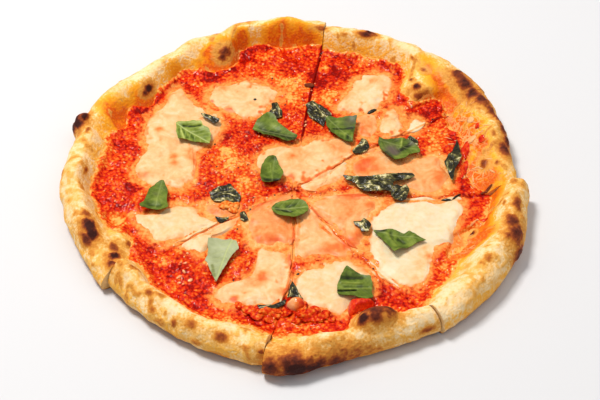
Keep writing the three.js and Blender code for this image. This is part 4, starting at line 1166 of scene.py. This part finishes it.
def crust_looks(x, y, z, along, across, is_under):
    """How burnt, oily, baked and full of shreds each place of the skin is, from 0 to 1: what its
    tables say, made uneven by noise. The underside is never oily."""
    baked = baked_spots(along, across)
    bake = BAKED_ALL_OVER + BAKED_PATCHES * rough(along, across, 22, 96, 2) + BAKED_RISEN * baked
    bake = bake + BAKED_FOOT * smoothstep(6, 1, z) * (across > CRUST_SIDE)
    bake = bake + BAKED_LOW * smoothstep(15, 6, z)
    # At the back the inner slope is painted paler, as painted light, and the orange of the sauce
    # reaches further up it.
    at_back = smoothstep(70, 115, y) * (across < CRUST_INSIDE)
    bake = bake + PAINTED_LIGHT_AT_BACK * at_back
    stain = soft_spots(x, y, OILY_CRUST) * (0.75 + 0.5 * rough(along, across, 9, 95))
    run = sauce_run(x, y, dough_top(x, y)) + 0.7 * rough(along, across, 8, 97)
    by_sauce = smoothstep(2.8 + 3.5 * at_back, 1.2, run)
    stain = np.clip(1.1 * stain + by_sauce * (0.3 + 0.35 * stain), 0, 1) * ~is_under
    shreds = np.clip(soft_spots(x, y, SHREDDED), 0, 1) * ~is_under
    burn = np.maximum(scorch_at(x, y, z), BURNT_SPOTS * smoothstep(0.75, 1, baked))
    under = BURNT_UNDER[1] * smoothstep(0.1, 0.6, rough(x, y, 13, 98)) + BURNT_UNDER[0]
    burn = np.where(is_under & (z < 1.5), np.maximum(burn, under), burn)
    burn = np.maximum(burn, BURNT_FOOT * smoothstep(2.6, 0.6, z) * (across > CRUST_SIDE))
    return {"char": burn, "stain": np.clip(stain, 0, 1), "bake": bake, "shreds": shreds}


def cut_face(skin, upper, lower, waist, first):
    """A cut face: a net of vertices straight down from the top edge to the lower one, closed by
    fans at the tip and at the waist. Its own vertices are numbered from `first`."""
    way = np.linspace(0, 1, CRUMB_STEPS + 2)[1:-1, None]
    inner = mix(skin[upper[1:]][:, None], skin[lower[1:]][:, None], way[None])
    numbers = first + np.arange(inner.shape[0] * CRUMB_STEPS).reshape(-1, CRUMB_STEPS)
    net = np.concatenate([upper[1:, None], numbers, lower[1:, None]], 1)
    tip, waist = np.full((2, net.shape[1] - 1), [[upper[0]], [waist]])
    faces = [grid_faces(net), np.stack([tip, net[0, 1:], net[0, :-1]], -1),
             np.array([[upper[0], lower[0], lower[1]]]),
             np.stack([net[-1, :-1], net[-1, 1:], waist], -1)]
    return inner.reshape(-1, 3), faces


def make_dough(piece, material):
    """One slice of dough: its skin, and a cut face of bare crumb on either side."""
    x, y, z, along, across, rows = dough_sections(piece)
    looks = crust_looks(x, y, z, along, across, np.arange(z.shape[1]) >= rows)
    index = np.arange(x.size).reshape(x.shape)
    skin = np.stack([x, y, z], -1).reshape(-1, 3)
    faces = [grid_faces(np.concatenate([index, index[:, :1]], 1))]
    points = skin
    for column, turn in ((0, 1), (-1, -1)):
        upper, lower = index[column, :rows - 1], index[column, :rows - 1:-1]
        inner, net = cut_face(skin, upper, lower, index[column, rows - 1], len(points))
        points = np.concatenate([points, inner])
        faces += [group[:, ::turn] for group in net]
    looks = {name: padded(values, len(points)) for name, values in looks.items()}
    make_piece("dough_" + piece["name"], points, faces, material, "crust",
               ["slice_" + piece["name"]], crease=50, crumb=padded(0 * z, len(points), 1), **looks)


# ---------------------------------------------------------------- sauce


def sauce_oil(x, y):
    """How orange the sauce is, from 0 for deep red to 1: soft regions, and each clump's own."""
    _, clump_own = grains(x, y, CLUMP_SIZE, 47)
    soft = soft_spots(x, y, SAUCE_TINTS) + 0.16 * rough(x, y, 15, 101)
    return np.clip(0.42 + soft + 0.22 * (clump_own - 0.5), 0, 1)


def cheese_in_sauce(x, y):
    """How much cheese has run into the sauce, from most at the edge of a patch down to 0, ragged:
    further, and up to 1, where the patch is soaked with oil."""
    film = np.zeros(x.shape)
    ragged = 3 * rough(x, y, 7, 103) + 1.5 * rough(x, y, 2.6, 106, 2)
    for node, patch in patches.items():
        is_oily = OILED[node] >= OILY_PATCH
        reach, most = (OILY_FILM, 1) if is_oily else (CHEESE_FILM, CHEESE_FILM_STRENGTH)
        film = np.maximum(film, most * smoothstep(reach, -1, ragged - within(patch, x, y)))
    return film


def make_sauce(piece, material):
    """The sauce of one slice: a sheet of grains over the bed that runs up the toe of the crust,
    with a wall down to the bed all round and a flat underside."""
    start, end = ends_of(piece)
    share = shares_round(piece, SAUCE_RADIUS, SAUCE_STEP)
    _, outer, width, _ = crust_at(piece, share)
    rise = np.minimum(SAUCE_REACH, width - CRUST_CREST - 1)
    rows = int((outer - width + rise).mean() / SAUCE_STEP)
    # It starts where its two sides come together, a little out from the middle of the pizza.
    tip = SAUCE_CUT_WIDTH / 2 / np.sin(np.radians(end - start) / 2) + 0.1
    radius = mix(tip, outer - width + rise, np.linspace(0, 1, rows)[None, :])
    # Its sides stand a hair out of the dough's cut, and draw back into it up the crust.
    x, y = on_slice(piece, share, radius, SAUCE_CUT_WIDTH / 2)
    back_x, back_y = on_slice(piece, share, radius, CUT_WIDTH)
    run = sauce_run(x, y, dough_top(x, y))
    drawn_back = smoothstep(0.6, 1.1, run)
    x, y = mix(x, back_x, drawn_back), mix(y, back_y, drawn_back)
    film = cheese_in_sauce(x, y)
    # The sauce rounds down a little at the cuts.
    aside = np.minimum(share, 1 - share) * np.radians(end - start) * radius
    z = sauce_top(x, y, dough_top(x, y), film) - 0.5 * smoothstep(1.2, 0, aside)
    z = np.maximum(z, SAUCE_UNDERSIDE + SAUCE_LEAST)
    oil = sauce_oil(x, y) + 0.5 * smoothstep(-0.1, 1, run) + 0.2 * smoothstep(0.7, 1.5, run)
    # A cut is painted darker where it is open, which is towards the back: painted shade in the gap.
    open_cut_shade = smoothstep(1.4, 0.6, off_cut(x, y)) * smoothstep(-40, 20, y)
    oil = oil - 0.9 * open_cut_shade * (1 - film)
    sheet = np.stack([x, y, z], -1).reshape(-1, 3)
    index = np.arange(len(sheet)).reshape(x.shape)
    loop = np.concatenate([index[0, :-1], index[:-1, -1], index[-1, :0:-1], index[:0:-1, 0]])
    floor = sheet[loop] * (1, 1, 0) + (0, 0, SAUCE_UNDERSIDE)
    under = len(sheet) + np.arange(len(loop))
    rim = np.stack([np.append(loop, loop[0]), np.append(under, under[0])])
    faces = [grid_faces(index), grid_faces(rim)[:, ::-1],
             fan(under, len(sheet) + len(under))[:, ::-1]]
    points = np.concatenate([sheet, floor, [floor.mean(0)]])
    make_piece("sauce_" + piece["name"] + "_finish", points, faces, material, "tomato_sauce",
               ["sauce_" + piece["name"]], oil=padded(oil, len(points)),
               film=padded(film, len(points)))


# ---------------------------------------------------------------- cheese

# How soaked with tomato each melted patch is, from -0.3 for clean cream to 1 for orange.
OILED = {
    "cheese_left": 0.2, "cheese_back": 0.2, "cheese_back_right": 0.13, "cheese_right": -0.14,
    "cheese_front": 0.06, "cheese_front_left": 0.16, "cheese_left_front": 0.1,
    "cheese_under_leaf": 0.28, "cheese_by_bubble": 0.2, "cheese_middle": 0.2,
    "cheese_middle_strip": 0.12, "cheese_right_oiled": 0.46, "cheese_front_oiled_right": 0.38,
    "cheese_front_oiled_middle": 0.28, "cheese_front_oiled_left": 0.6,
    "cheese_left_strip": 0.1, "cheese_dot": -0.1, "cheese_browned": 0.7,
}
OILY_PATCH = 0.3  # from here on a patch counts as soaked
STREAKS_ELSEWHERE = 0.25
# How strongly tomato streaks some of the patches.
STREAKED = {
    "cheese_left": 0.5, "cheese_back": 1.1, "cheese_back_right": 1.1, "cheese_under_leaf": 0.7,
    "cheese_by_bubble": 1.1, "cheese_middle": 0.8, "cheese_front_left": 0.7,
    "cheese_left_strip": 0.3, "cheese_right": 0.12, "cheese_front": 0.15,
}
# The melt has closed again over the cut to the back, between these angles.
MELTED_OVER = (55, 62, 100, 110)


def find_patch(node):
    """Where a melted patch lies: its middle, and the angle and reach of its ragged edge."""
    edge = closed_curve(outline_of(node), CHEESE_STEP)
    middle = edge.mean(0)
    ray = edge - middle
    ragged = CHEESE_SPREAD + 1.8 * noise(*edge.T, 11, 121) + 0.9 * noise(*edge.T, 3.4, 122)
    reach = np.hypot(*ray.T) + ragged
    edge = middle + ray / np.hypot(*ray.T)[:, None] * reach[:, None]
    return {"middle": middle, "angle": np.arctan2(*ray.T[::-1]), "reach": reach, "edge": edge}


def streaks_at(node, x, y, inward):
    """How streaked with tomato a patch is: thin flames of it that lick in from its edge, from
    noise drawn out along the way in, and break up further in."""
    flame = 0.6 * noise(x, 0.45 * y, 3.4, 123) + 0.4 * noise(x, y, 2.2, 124)
    flame = flame + 0.5 * smoothstep(9, 0, inward) - 0.25
    strength = STREAKED.get(node, STREAKS_ELSEWHERE)
    return strength * smoothstep(0.1, 0.75, flame) * smoothstep(20, 9, inward)


def within(patch, x, y):
    """How far each place lies inside a patch's edge, along the ray from its middle."""
    order = np.argsort(patch["angle"])
    ray_x, ray_y = x - patch["middle"][0], y - patch["middle"][1]
    reach = np.interp(np.arctan2(ray_y, ray_x), patch["angle"][order], patch["reach"][order],
                      period=2 * np.pi)
    return reach - np.hypot(ray_x, ray_y)


def melted_over(x, y):
    """1 where the melt has closed again over a cut, 0 elsewhere, with a smoothstep between."""
    angle = np.degrees(np.arctan2(y - CUT_CENTRE[1], x - CUT_CENTRE[0]))
    start, closed, opens, end = MELTED_OVER
    return smoothstep(start, closed, angle) * smoothstep(end, opens, angle)


def beside_cut(x, y):
    """How near an open cut each place is: 1 up to 1.5 mm off it, and 0 from 4 mm off."""
    return smoothstep(4, 1.5, off_cut(x, y)) * (1 - melted_over(x, y))


def cheese_height(x, y, inward):
    """Top of a melted patch, `inward` millimetres in from its edge: from a little under the tops
    of the pulp up to its crown, with soft waves and dimples, and wrinkles in its skin that follow
    the edge. Along a cut its edge stands up, where the wheel has pushed it."""
    waves = 0.45 * rough(x, y, 17, 111) + 0.12 * rough(x, y, 6, 114, 2)
    wrinkled = smoothstep(0, 3, inward) * smoothstep(13, 5, inward)
    wrinkled = wrinkled * smoothstep(-0.2, 0.6, noise(x, y, 19, 118))
    waves = waves + 0.22 * wrinkled * np.sin(2 * inward + 3 * noise(x, y, 9, 119))
    rise = smoothstep(-1.5, CHEESE_SOFT_EDGE, inward + 1.5 * noise(x, y, 5, 117))
    rise = mix(rise, np.maximum(rise, CUT_LIP), beside_cut(x, y))
    return sauce_level(x, y) + mix(-CHEESE_SUNK, CHEESE_RISE + waves, rise)


def make_cheese(node, material):
    """A melted patch: rings that shrink from a ragged outline to its middle, each at the height
    of the melt, on a wall and a floor that the sauce hides."""
    patch = patches[node]
    edge, middle, reach = patch["edge"], patch["middle"], patch["reach"]
    share = 1 - np.linspace(0, 1, int(reach.mean() / CHEESE_STEP) + 1)[:-1, None]
    x, y = drawn_in(edge, middle, share)
    inward = (1 - share) * reach[None, :]
    rings = np.stack([x, y, cheese_height(x, y, inward)], -1)
    floor = rings[0, :, 2].min() - 0.4
    foot = rings[:1] * (1, 1, 0) + (0, 0, floor)
    crown = (*middle, float(cheese_height(*middle[:, None], reach.min())[0]))
    points, faces = ringed(np.concatenate([foot, rings]), (*middle, floor), crown)
    x, y = points[:, :2].T
    inward = np.concatenate([np.zeros(len(edge)), inward.ravel(), [0, reach.min()]])
    # Tomato shows where it has soaked in and in streaks from the edge. Along the open cuts a line
    # is painted in: the tomato in the gap and the gap's painted shade.
    soaked = soft_spots(x, y, SOAKED_CHEESE) * (0.8 + 0.5 * rough(x, y, 4, 113))
    cut_tomato_and_shade = 0.6 * smoothstep(1.3, 0.4, off_cut(x, y)) * (1 - melted_over(x, y))
    oil = OILED[node] + soaked + cut_tomato_and_shade + streaks_at(node, x, y, inward)
    thin = smoothstep(7, 0, inward) * (1 - 0.8 * beside_cut(x, y))
    slot = "mozzarella_oiled" if OILED[node] >= OILY_PATCH else "mozzarella"
    make_piece(node + "_melt", points, faces, material, slot, [node], oil=oil, thin=thin)


def over_cheese(x, y, top):
    """A height, or that of the cheese where a patch lies higher."""
    for patch in patches.values():
        inward = within(patch, x, y)
        top = np.where(inward > 0, np.maximum(top, cheese_height(x, y, inward)), top)
    return top


def lying_height(x, y):
    """Height of what is under a leaf: the sauce, or any cheese over it."""
    return over_cheese(x, y, sauce_level(x, y) + PULP_TOPS)


# ---------------------------------------------------------------- tomato and basil


def make_tomato(node, pale, material):
    """A soft lump: rings that rise from its outline as a quarter ellipse, wrinkled by noise. pale
    is how much cheese clings to it, most on its left."""
    low, high = (corner.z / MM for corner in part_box(node))
    edge = closed_curve(outline_of(node), LEAF_STEP)
    middle = edge.mean(0)
    share = np.cos(np.linspace(0, np.pi / 2, TOMATO_ROWS + 1))[:-1, None]
    x, y = drawn_in(edge, middle, share)
    dome = np.sqrt(1 - share**2)
    base = min(low, float(lying_height(*middle[:, None])[0])) - 1
    z = mix(base, high, dome) + dome * (1.1 * rough(x, y, 4, 131) + 0.3 * rough(x, y, 1.6, 134))
    points, faces = ringed(np.stack([x, y, z], -1), (*middle, base), (*middle, high))
    to_left = smoothstep(3, -3, points[:, 0] - middle[0])
    make_piece(node + "_lump", points, faces, material, "tomato", [node],
               pale=pale * (0.35 + 0.5 * to_left))


def torn_outline(corners):
    """A torn leaf's edge: straight between its corners, eased by averaging each point with its
    four neighbours, and ragged by up to half a millimetre."""
    edge = evenly(np.array(corners, float), LEAF_STEP)
    edge = sum(np.roll(edge, k, 0) for k in range(-2, 3)) / 5
    ragged = 0.35 * noise(*edge.T, 2.6, 141) + 0.2 * noise(*edge.T, 1.1, 142)
    ray = edge - edge.mean(0)
    return edge + ray / np.hypot(*ray.T)[:, None] * ragged[:, None]


def leaf_sheet(edge, height, thickness, rows):
    """Points and faces of a thin leaf: rings from the middle to the edge on top, and back to the
    middle underneath, both faces split alike."""
    middle = edge.mean(0)
    share = np.linspace(0, 1, rows + 1)[1:, None]
    x, y = drawn_in(edge, middle, share)
    lower = height(x, y, share)
    at_middle = float(height(middle[:1], middle[1:], np.zeros(1))[0])
    top = np.stack([x, y, lower + thickness], -1)
    under = np.stack([x, y, lower], -1)[::-1]
    points, faces = ringed(np.concatenate([top, under]), (*middle, at_middle + thickness),
                           (*middle, at_middle))
    return points, [group[:, ::-1] for group in faces]


def vein_pattern(x, y, leaf):
    """The midrib, and side veins that leave it at 50 degrees, each a ridge e^-(d/w)^2 from 0 to
    1 of the distance d from it, and how far each place lies aside from the midrib."""
    (start_x, start_y), (end_x, end_y) = leaf["rib"]
    length = np.hypot(end_x - start_x, end_y - start_y)
    axis_x, axis_y = (end_x - start_x) / length, (end_y - start_y) / length
    along = (x - start_x) * axis_x + (y - start_y) * axis_y
    aside = (y - start_y) * axis_x - (x - start_x) * axis_y + 0.4 * np.sin(along / 7)
    rib = np.exp(-((aside / RIB_WIDTH) ** 2)) * smoothstep(length + 1, length - 1, along)
    phase = (along - VEIN_SLANT * np.abs(aside) + 0.9 * noise(x, y, 7, 151)) / VEIN_SPACING
    off_vein = np.abs(phase - np.round(phase)) * VEIN_SPACING
    side = 0.5 * np.exp(-((off_vein / VEIN_WIDTH) ** 2)) * smoothstep(12, 2, np.abs(aside))
    return np.maximum(rib, side), aside


def creases(x, y, lines):
    """The tone that a leaf's creases give it, painted light on raised ones and painted shade in
    sunk
    ones, and how much higher they make it: for each line from one point to another,
    e^-(d/width)^2 of the distance d from it."""
    tone_and_painted_light, higher = np.zeros(np.shape(x)), np.zeros(np.shape(x))
    for start_x, start_y, end_x, end_y, width, tone, lift in lines:
        run_x, run_y = end_x - start_x, end_y - start_y
        share = ((x - start_x) * run_x + (y - start_y) * run_y) / (run_x**2 + run_y**2)
        share = np.clip(share, 0, 1)
        off_x, off_y = x - start_x - share * run_x, y - start_y - share * run_y
        strength = np.exp(-(off_x**2 + off_y**2) / width**2)
        tone_and_painted_light += tone * strength
        higher += lift * strength
    return tone_and_painted_light, higher


def make_fresh_leaf(node, leaf, material):
    """A torn leaf: its sides curl up as the square of the distance from the midrib, it ripples
    towards its edge, bulges between its veins and folds along its creases."""
    edge = torn_outline(leaf["outline"])
    _, edge_aside = vein_pattern(*edge.T, leaf)
    widest = np.abs(edge_aside).max()
    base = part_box(node)[0].z / MM

    def height(x, y, share):
        """Its underside: the sum of all these, but never below what it lies on."""
        vein, aside = vein_pattern(x, y, leaf)
        lift = leaf["curl"] * (np.abs(aside) / widest) ** 2
        ripple = share * (0.5 + 0.5 * np.sin(x / 2.9) * np.cos(y / 3.7))
        bulge = 0.35 * (1 - vein) * leaf["veins"] + 0.3 * noise(x, y, 5, 155)
        folded = base - 0.6 + lift + ripple + bulge + creases(x, y, leaf["creases"])[1]
        return np.maximum(folded, lying_height(x, y) + 0.25)

    points, faces = leaf_sheet(edge, height, FRESH_LEAF_THICKNESS, FRESH_LEAF_ROWS)
    x, y = points[:, :2].T
    make_piece(
        node + "_leaf", points, faces, material, "basil_fresh", [node], crease=60,
        vein=vein_pattern(x, y, leaf)[0] * leaf["veins"],
        # The creases add their painted light and painted shade to the leaf's tone.
        tone=leaf["tone"] + 0.2 * rough(x, y, 7, 157) + creases(x, y, leaf["creases"])[0],
        under=np.full(len(points), float(leaf["under"])),
        wilt=np.clip(soft_spots(x, y, leaf.get("wilted", ())), 0, 1),
    )


def folds(x, y, angle):
    """Sharp folds that run at an angle, from 0 to 1: one less the size of noise, which peaks
    where the noise is 0, drawn out along them to three and two times its width."""
    turn = np.radians(angle)
    along, aside = x * np.cos(turn) + y * np.sin(turn), y * np.cos(turn) - x * np.sin(turn)
    coarse = 1 - np.abs(noise(along / 3, aside, 2.6, 161))
    fine = 1 - np.abs(noise(along / 2 + aside / 3, aside, 1.3, 162))
    return 0.6 * coarse**2 + 0.4 * fine**2


def make_cooked_leaf(node, crease, angle, corners, material):
    """A shrivelled leaf, folded sharply all over and thin at its edge."""
    edge = torn_outline(corners)
    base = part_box(node)[0].z / MM

    def height(x, y, share):
        """Its underside: its folds, half as high at its edge, over what it lies on."""
        lying = np.maximum(base - 0.5, lying_height(x, y))
        return lying + crease * folds(x, y, angle) * (1 - 0.5 * share**3)

    points, faces = leaf_sheet(edge, height, COOKED_LEAF_THICKNESS, COOKED_LEAF_ROWS)
    # ridge lets the finish paint light and glints on the tops of the folds.
    make_piece(node + "_leaf", points, faces, material, "basil_cooked", [node], crease=50,
               ridge=folds(*points[:, :2].T, angle))


# ---------------------------------------------------------------- small bits on top


def surface_height(x, y):
    """Height of whatever shows at each place: the crust, the sauce's grains, or cheese."""
    dough = dough_top(x, y)
    sauce = sauce_top(x, y, dough, cheese_in_sauce(x, y))
    return over_cheese(x, y, np.maximum(dough, sauce))


def make_bits(name, bits, material, slot, sides=8, lumpy=0.2, **attributes):
    """Small things of one kind: x, y, half length, half width, height and angle of each. All are
    one ball of rings, stretched, turned and made lumpy, half sunk in what they lie on and bent
    to it."""
    tilt = np.linspace(-np.pi / 2, np.pi / 2, sides // 2 + 2)[1:-1, None]
    turn = np.linspace(0, 2 * np.pi, sides, endpoint=False)[None, :]
    rings = np.stack([np.cos(tilt) * np.cos(turn), np.cos(tilt) * np.sin(turn),
                      np.sin(tilt) + 0 * turn], -1)
    ball, ball_faces = ringed(rings, (0, 0, -1), (0, 0, 1))
    x, y, long, wide, high, angle = np.array(bits, float).T[:, :, None]
    angle = np.radians(angle)
    along, aside = ball[:, 0] * long, ball[:, 1] * wide
    place_x = x + along * np.cos(angle) - aside * np.sin(angle)
    place_y = y + along * np.sin(angle) + aside * np.cos(angle)
    uneven = lumpy * rough(place_x + 5 * ball[:, 2], place_y, 3.5, 171, 2)
    place_x, place_y = mix(place_x, x, -uneven), mix(place_y, y, -uneven)
    z = surface_height(place_x, place_y) + high * (0.3 + (0.6 + uneven) * ball[:, 2])
    points = np.stack([place_x, place_y, z], -1).reshape(-1, 3)
    step = len(ball) * np.arange(len(bits))[:, None, None]
    faces = [(group[None] + step).reshape(-1, group.shape[1]) for group in ball_faces]
    values = {key: np.full(len(points), value, float) for key, value in attributes.items()}
    make_piece(name, points, faces, material, slot, **values)


def scattered(draw, count, middle, spread, lengths, width, height):
    """Bits at random about a place, turned at random: their width and height are shares of their
    length."""
    x = draw.normal(middle[0], spread, count)
    y = draw.normal(middle[1], spread, count)
    long = draw.uniform(*lengths, count)
    angle = draw.uniform(0, 180, count)
    return np.stack([x, y, long, long * width, long * height, angle], -1)


def on_crust(bits):
    """Those bits that lie on the inner slope of the crust."""
    _, radius, outer, _, _ = where_on_pizza(bits[:, 0], bits[:, 1])
    return bits[outer - radius > SHREDS_DEPTH]


def on_sauce(bits):
    """Those bits that lie on bare sauce."""
    x, y = bits[:, 0], bits[:, 1]
    bare = (sauce_run(x, y, dough_top(x, y)) < 0.5) & (np.hypot(x, y) < SEEDS_WITHIN)
    for patch in patches.values():
        bare &= within(patch, x, y) < -0.5
    return bits[bare]


# How many seeds and specks are strewn, before those off the bare sauce are left out, how far
# from the middle of the pizza most of them lie, and how far at most.
SEED_COUNT = 1500
SPECK_COUNT = 90
SEEDS_SPREAD = 75
SEEDS_WITHIN = 140
SHREDS_DEPTH = 15  # shreds of cheese lie this far in from the outer edge

# All the bits below: x, y, half length, half width, height, angle.
# Drops and strings of tomato pulp.
TOMATO_BITS = (
    (118.5, 33.5, 7, 2.3, 1.2, 84), (116.7, 18.5, 8, 1.7, 1, 75), (127, -29, 2.4, 1.4, 0.9, 0),
    (110.7, 51.3, 2.6, 1.8, 1, 40), (127, 49.4, 2.6, 1.6, 1, 100), (129, 36, 3.2, 1.9, 1, 110),
    (103, 76, 3.6, 1.8, 1, 80),
)
# Lumps of pulp in the sauce at the front.
PULP_LUMPS = (
    (-34, -103, 3.6, 2.6, 1.6, 150), (-28, -106.5, 5, 3.6, 2.4, 20),
    (-22.5, -104.5, 3, 2.2, 1.6, 100), (-23, -110.5, 4.4, 3, 2, 0),
    (-17, -107, 5.4, 3.8, 2.8, 60), (-15, -113, 3.6, 2.6, 1.6, 160),
    (-10.5, -108, 4.6, 3.2, 2.6, 120), (-5, -109.5, 3.4, 2.6, 1.8, 30), (6, -106, 4.4, 3.4, 3, 70),
    (9, -111, 6, 4.2, 3.8, 20), (14, -106.5, 3.4, 2.6, 2, 140), (16, -113.5, 5, 3.4, 2.6, 170),
    (20.5, -110, 3.8, 2.8, 2, 50), (24.5, -114, 3, 2.2, 1.6, 10), (2.5, -114, 3.8, 2.8, 2, 80),
)
# Seeds and specks of pale pulp on the sauce at the front left.
LARGE_SEEDS = (
    (-70, -67.2, 1.6, 1, 1.2, 20), (-68, -71.4, 1.3, 1, 1.1, 80), (-70.3, -74.8, 1.5, 1, 1.2, 130),
    (-72.7, -79, 1.4, 1.1, 1.2, 10), (-66, -81.5, 1.9, 1.2, 1.4, 30),
    (-73, -83.2, 1.4, 0.9, 1.1, 0), (-70.5, -84.5, 1.2, 0.9, 1, 60),
)
# Scraps of cooked basil and of its stem.
HERB_FLAKES = (
    (55.2, 73.2, 4, 1.4, 1, 29), (-27.4, 84.4, 1.2, 0.9, 0.8, 0), (3.2, -75.6, 1.2, 0.9, 0.8, 30),
    (102.6, -11.4, 4.2, 0.9, 1.2, -7), (109.6, -8.7, 4.8, 0.9, 1.2, 44),
)
# Dry flakes of burnt dough.
CRUST_FLAKES = ((129.8, -3.6, 4.8, 1.3, 1, 35), (11.3, 99.2, 3.6, 2, 1.8, -10))
# Bubbles that rose and browned in the soaked cheese left of the middle.
BROWNED_LUMPS = (
    (-43.6, -17.3, 5, 3.4, 2.4, 20), (-38.3, -16, 3.6, 2.6, 2, 100),
    (-45.5, -13.6, 3.4, 2.4, 1.6, 60), (-40.9, -20.5, 3.6, 2.2, 1.6, 160),
    (-47.5, -19, 3, 2.2, 1.5, 130),
)
# Shreds of cheese dried on the oily crust.
CHEESE_SHREDS = (
    (121.8, 40.6, 4.6, 3.2, 1.1, 20), (119.5, -31.2, 4.2, 0.6, 0.5, 47),
    (123, 57, 3, 2, 0.9, 120),
)

# ---------------------------------------------------------------- build

dough_finish = baked_dough()
sauce_finish = tomato_sauce()
cheese_finish = melted_mozzarella()
tomato_finish = tomato_flesh()
fresh_finish = fresh_basil()
cooked_finish = cooked_basil()
seed_finish = tomato_seed()

patches = {node: find_patch(node) for node in sorted(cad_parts) if "cheese_" in node}
for piece in SLICES:
    make_dough(piece, dough_finish)
    make_sauce(piece, sauce_finish)
for node in patches:
    make_cheese(node, cheese_finish)
for node, pale in (("tomato_lump", 1), ("tomato_chunk", 0)):
    make_tomato(node, pale, tomato_finish)
for node, (crease, angle, corners) in COOKED_BASIL.items():
    make_cooked_leaf(node, crease, angle, corners, cooked_finish)
for node, leaf in FRESH_BASIL.items():
    make_fresh_leaf(node, leaf, fresh_finish)

draw = np.random.default_rng(5)
seeds = on_sauce(scattered(draw, SEED_COUNT, (0, 0), SEEDS_SPREAD, (0.4, 1.0), 0.75, 0.8))
specks = on_sauce(scattered(draw, SPECK_COUNT, (0, 0), SEEDS_SPREAD, (0.5, 0.9), 0.8, 0.6))
shreds = on_crust(np.concatenate([
    scattered(draw, SHREDS_IN_EACH, (x, y), radius / 2, (1.2, 3.6), 0.16, 0.14)
    for x, y, radius, _ in SHREDDED]))
make_bits("tomato_bits", TOMATO_BITS, tomato_finish, "tomato", sides=24, lumpy=0.6, pale=0.1)
make_bits("pulp_lumps", PULP_LUMPS, sauce_finish, "tomato_sauce", sides=28, lumpy=0.9, oil=0.5,
          film=0.12)
make_bits("browned_bubbles", BROWNED_LUMPS, sauce_finish, "mozzarella_oiled", sides=20, lumpy=0.5,
          oil=0.85, film=0.2)
make_bits("tomato_seeds", np.concatenate([seeds, LARGE_SEEDS]), seed_finish, "tomato_sauce")
make_bits("herb_flakes", np.concatenate([specks, HERB_FLAKES]), cooked_finish, "basil_cooked",
          ridge=0.2)
make_bits("crust_flakes", CRUST_FLAKES, dough_finish, "crust", sides=12, char=0.75, bake=0.5)
make_bits("cheese_shreds", np.concatenate([shreds, CHEESE_SHREDS]), cheese_finish, "mozzarella",
          oil=0.36, thin=0.1)

# ---------------------------------------------------------------- studio

FLOOR_HALF = 3.0
FLOOR_LEVEL = -0.0003  # just under the pizza
floor_mesh = bpy.data.meshes.new("floor")
corners = ((-1, -1), (1, -1), (1, 1), (-1, 1))
floor_mesh.from_pydata([(x * FLOOR_HALF, y * FLOOR_HALF, FLOOR_LEVEL) for x, y in corners],
                       [], [(0, 1, 2, 3)])
floor_mesh.materials.append(white_paper())
floor = bpy.data.objects.new("floor", floor_mesh)
bpy.context.scene.collection.objects.link(floor)


def add_light(name, place, size, power, colour):
    """A square soft light at a place in metres, facing the middle of the pizza."""
    data = bpy.data.lights.new(name, "AREA")
    data.size = size
    data.energy = power
    data.color = linear(colour)[:3]
    light = bpy.data.objects.new(name, data)
    light.location = place
    light.rotation_euler = (-Vector(place)).to_track_quat("-Z", "Y").to_euler()
    bpy.context.scene.collection.objects.link(light)


add_light("key", (-0.62, 0.38, 1.7), size=0.5, power=34, colour="#fffcf8")
add_light("fill", (0.9, 0.1, 1.5), size=1.5, power=6, colour="#fbfaf8")

world = bpy.data.worlds.new("studio")
world.use_nodes = True
background = world.node_tree.nodes["Background"].inputs
background["Color"].default_value = linear("#fafafa")
background["Strength"].default_value = 0.42
bpy.context.scene.world = world
bpy.context.scene.view_settings.view_transform = "Standard"

# The camera looks down at the front of the pizza, from these metres and degrees.
CAMERA_TARGET = Vector((4.5 * MM, -7.5 * MM, 0))
CAMERA_DISTANCE = 1.128
CAMERA_ELEVATION = 47.5
lens = bpy.data.cameras.new("camera")
lens.lens = 100
lens.sensor_width = 36
camera = bpy.data.objects.new("camera", lens)
tilt = np.radians(CAMERA_ELEVATION)
back = Vector((0, -np.cos(tilt), np.sin(tilt)))
camera.location = CAMERA_TARGET + CAMERA_DISTANCE * back
camera.rotation_euler = (-back).to_track_quat("-Z", "Y").to_euler()
bpy.context.scene.collection.objects.link(camera)
bpy.context.scene.camera = camera
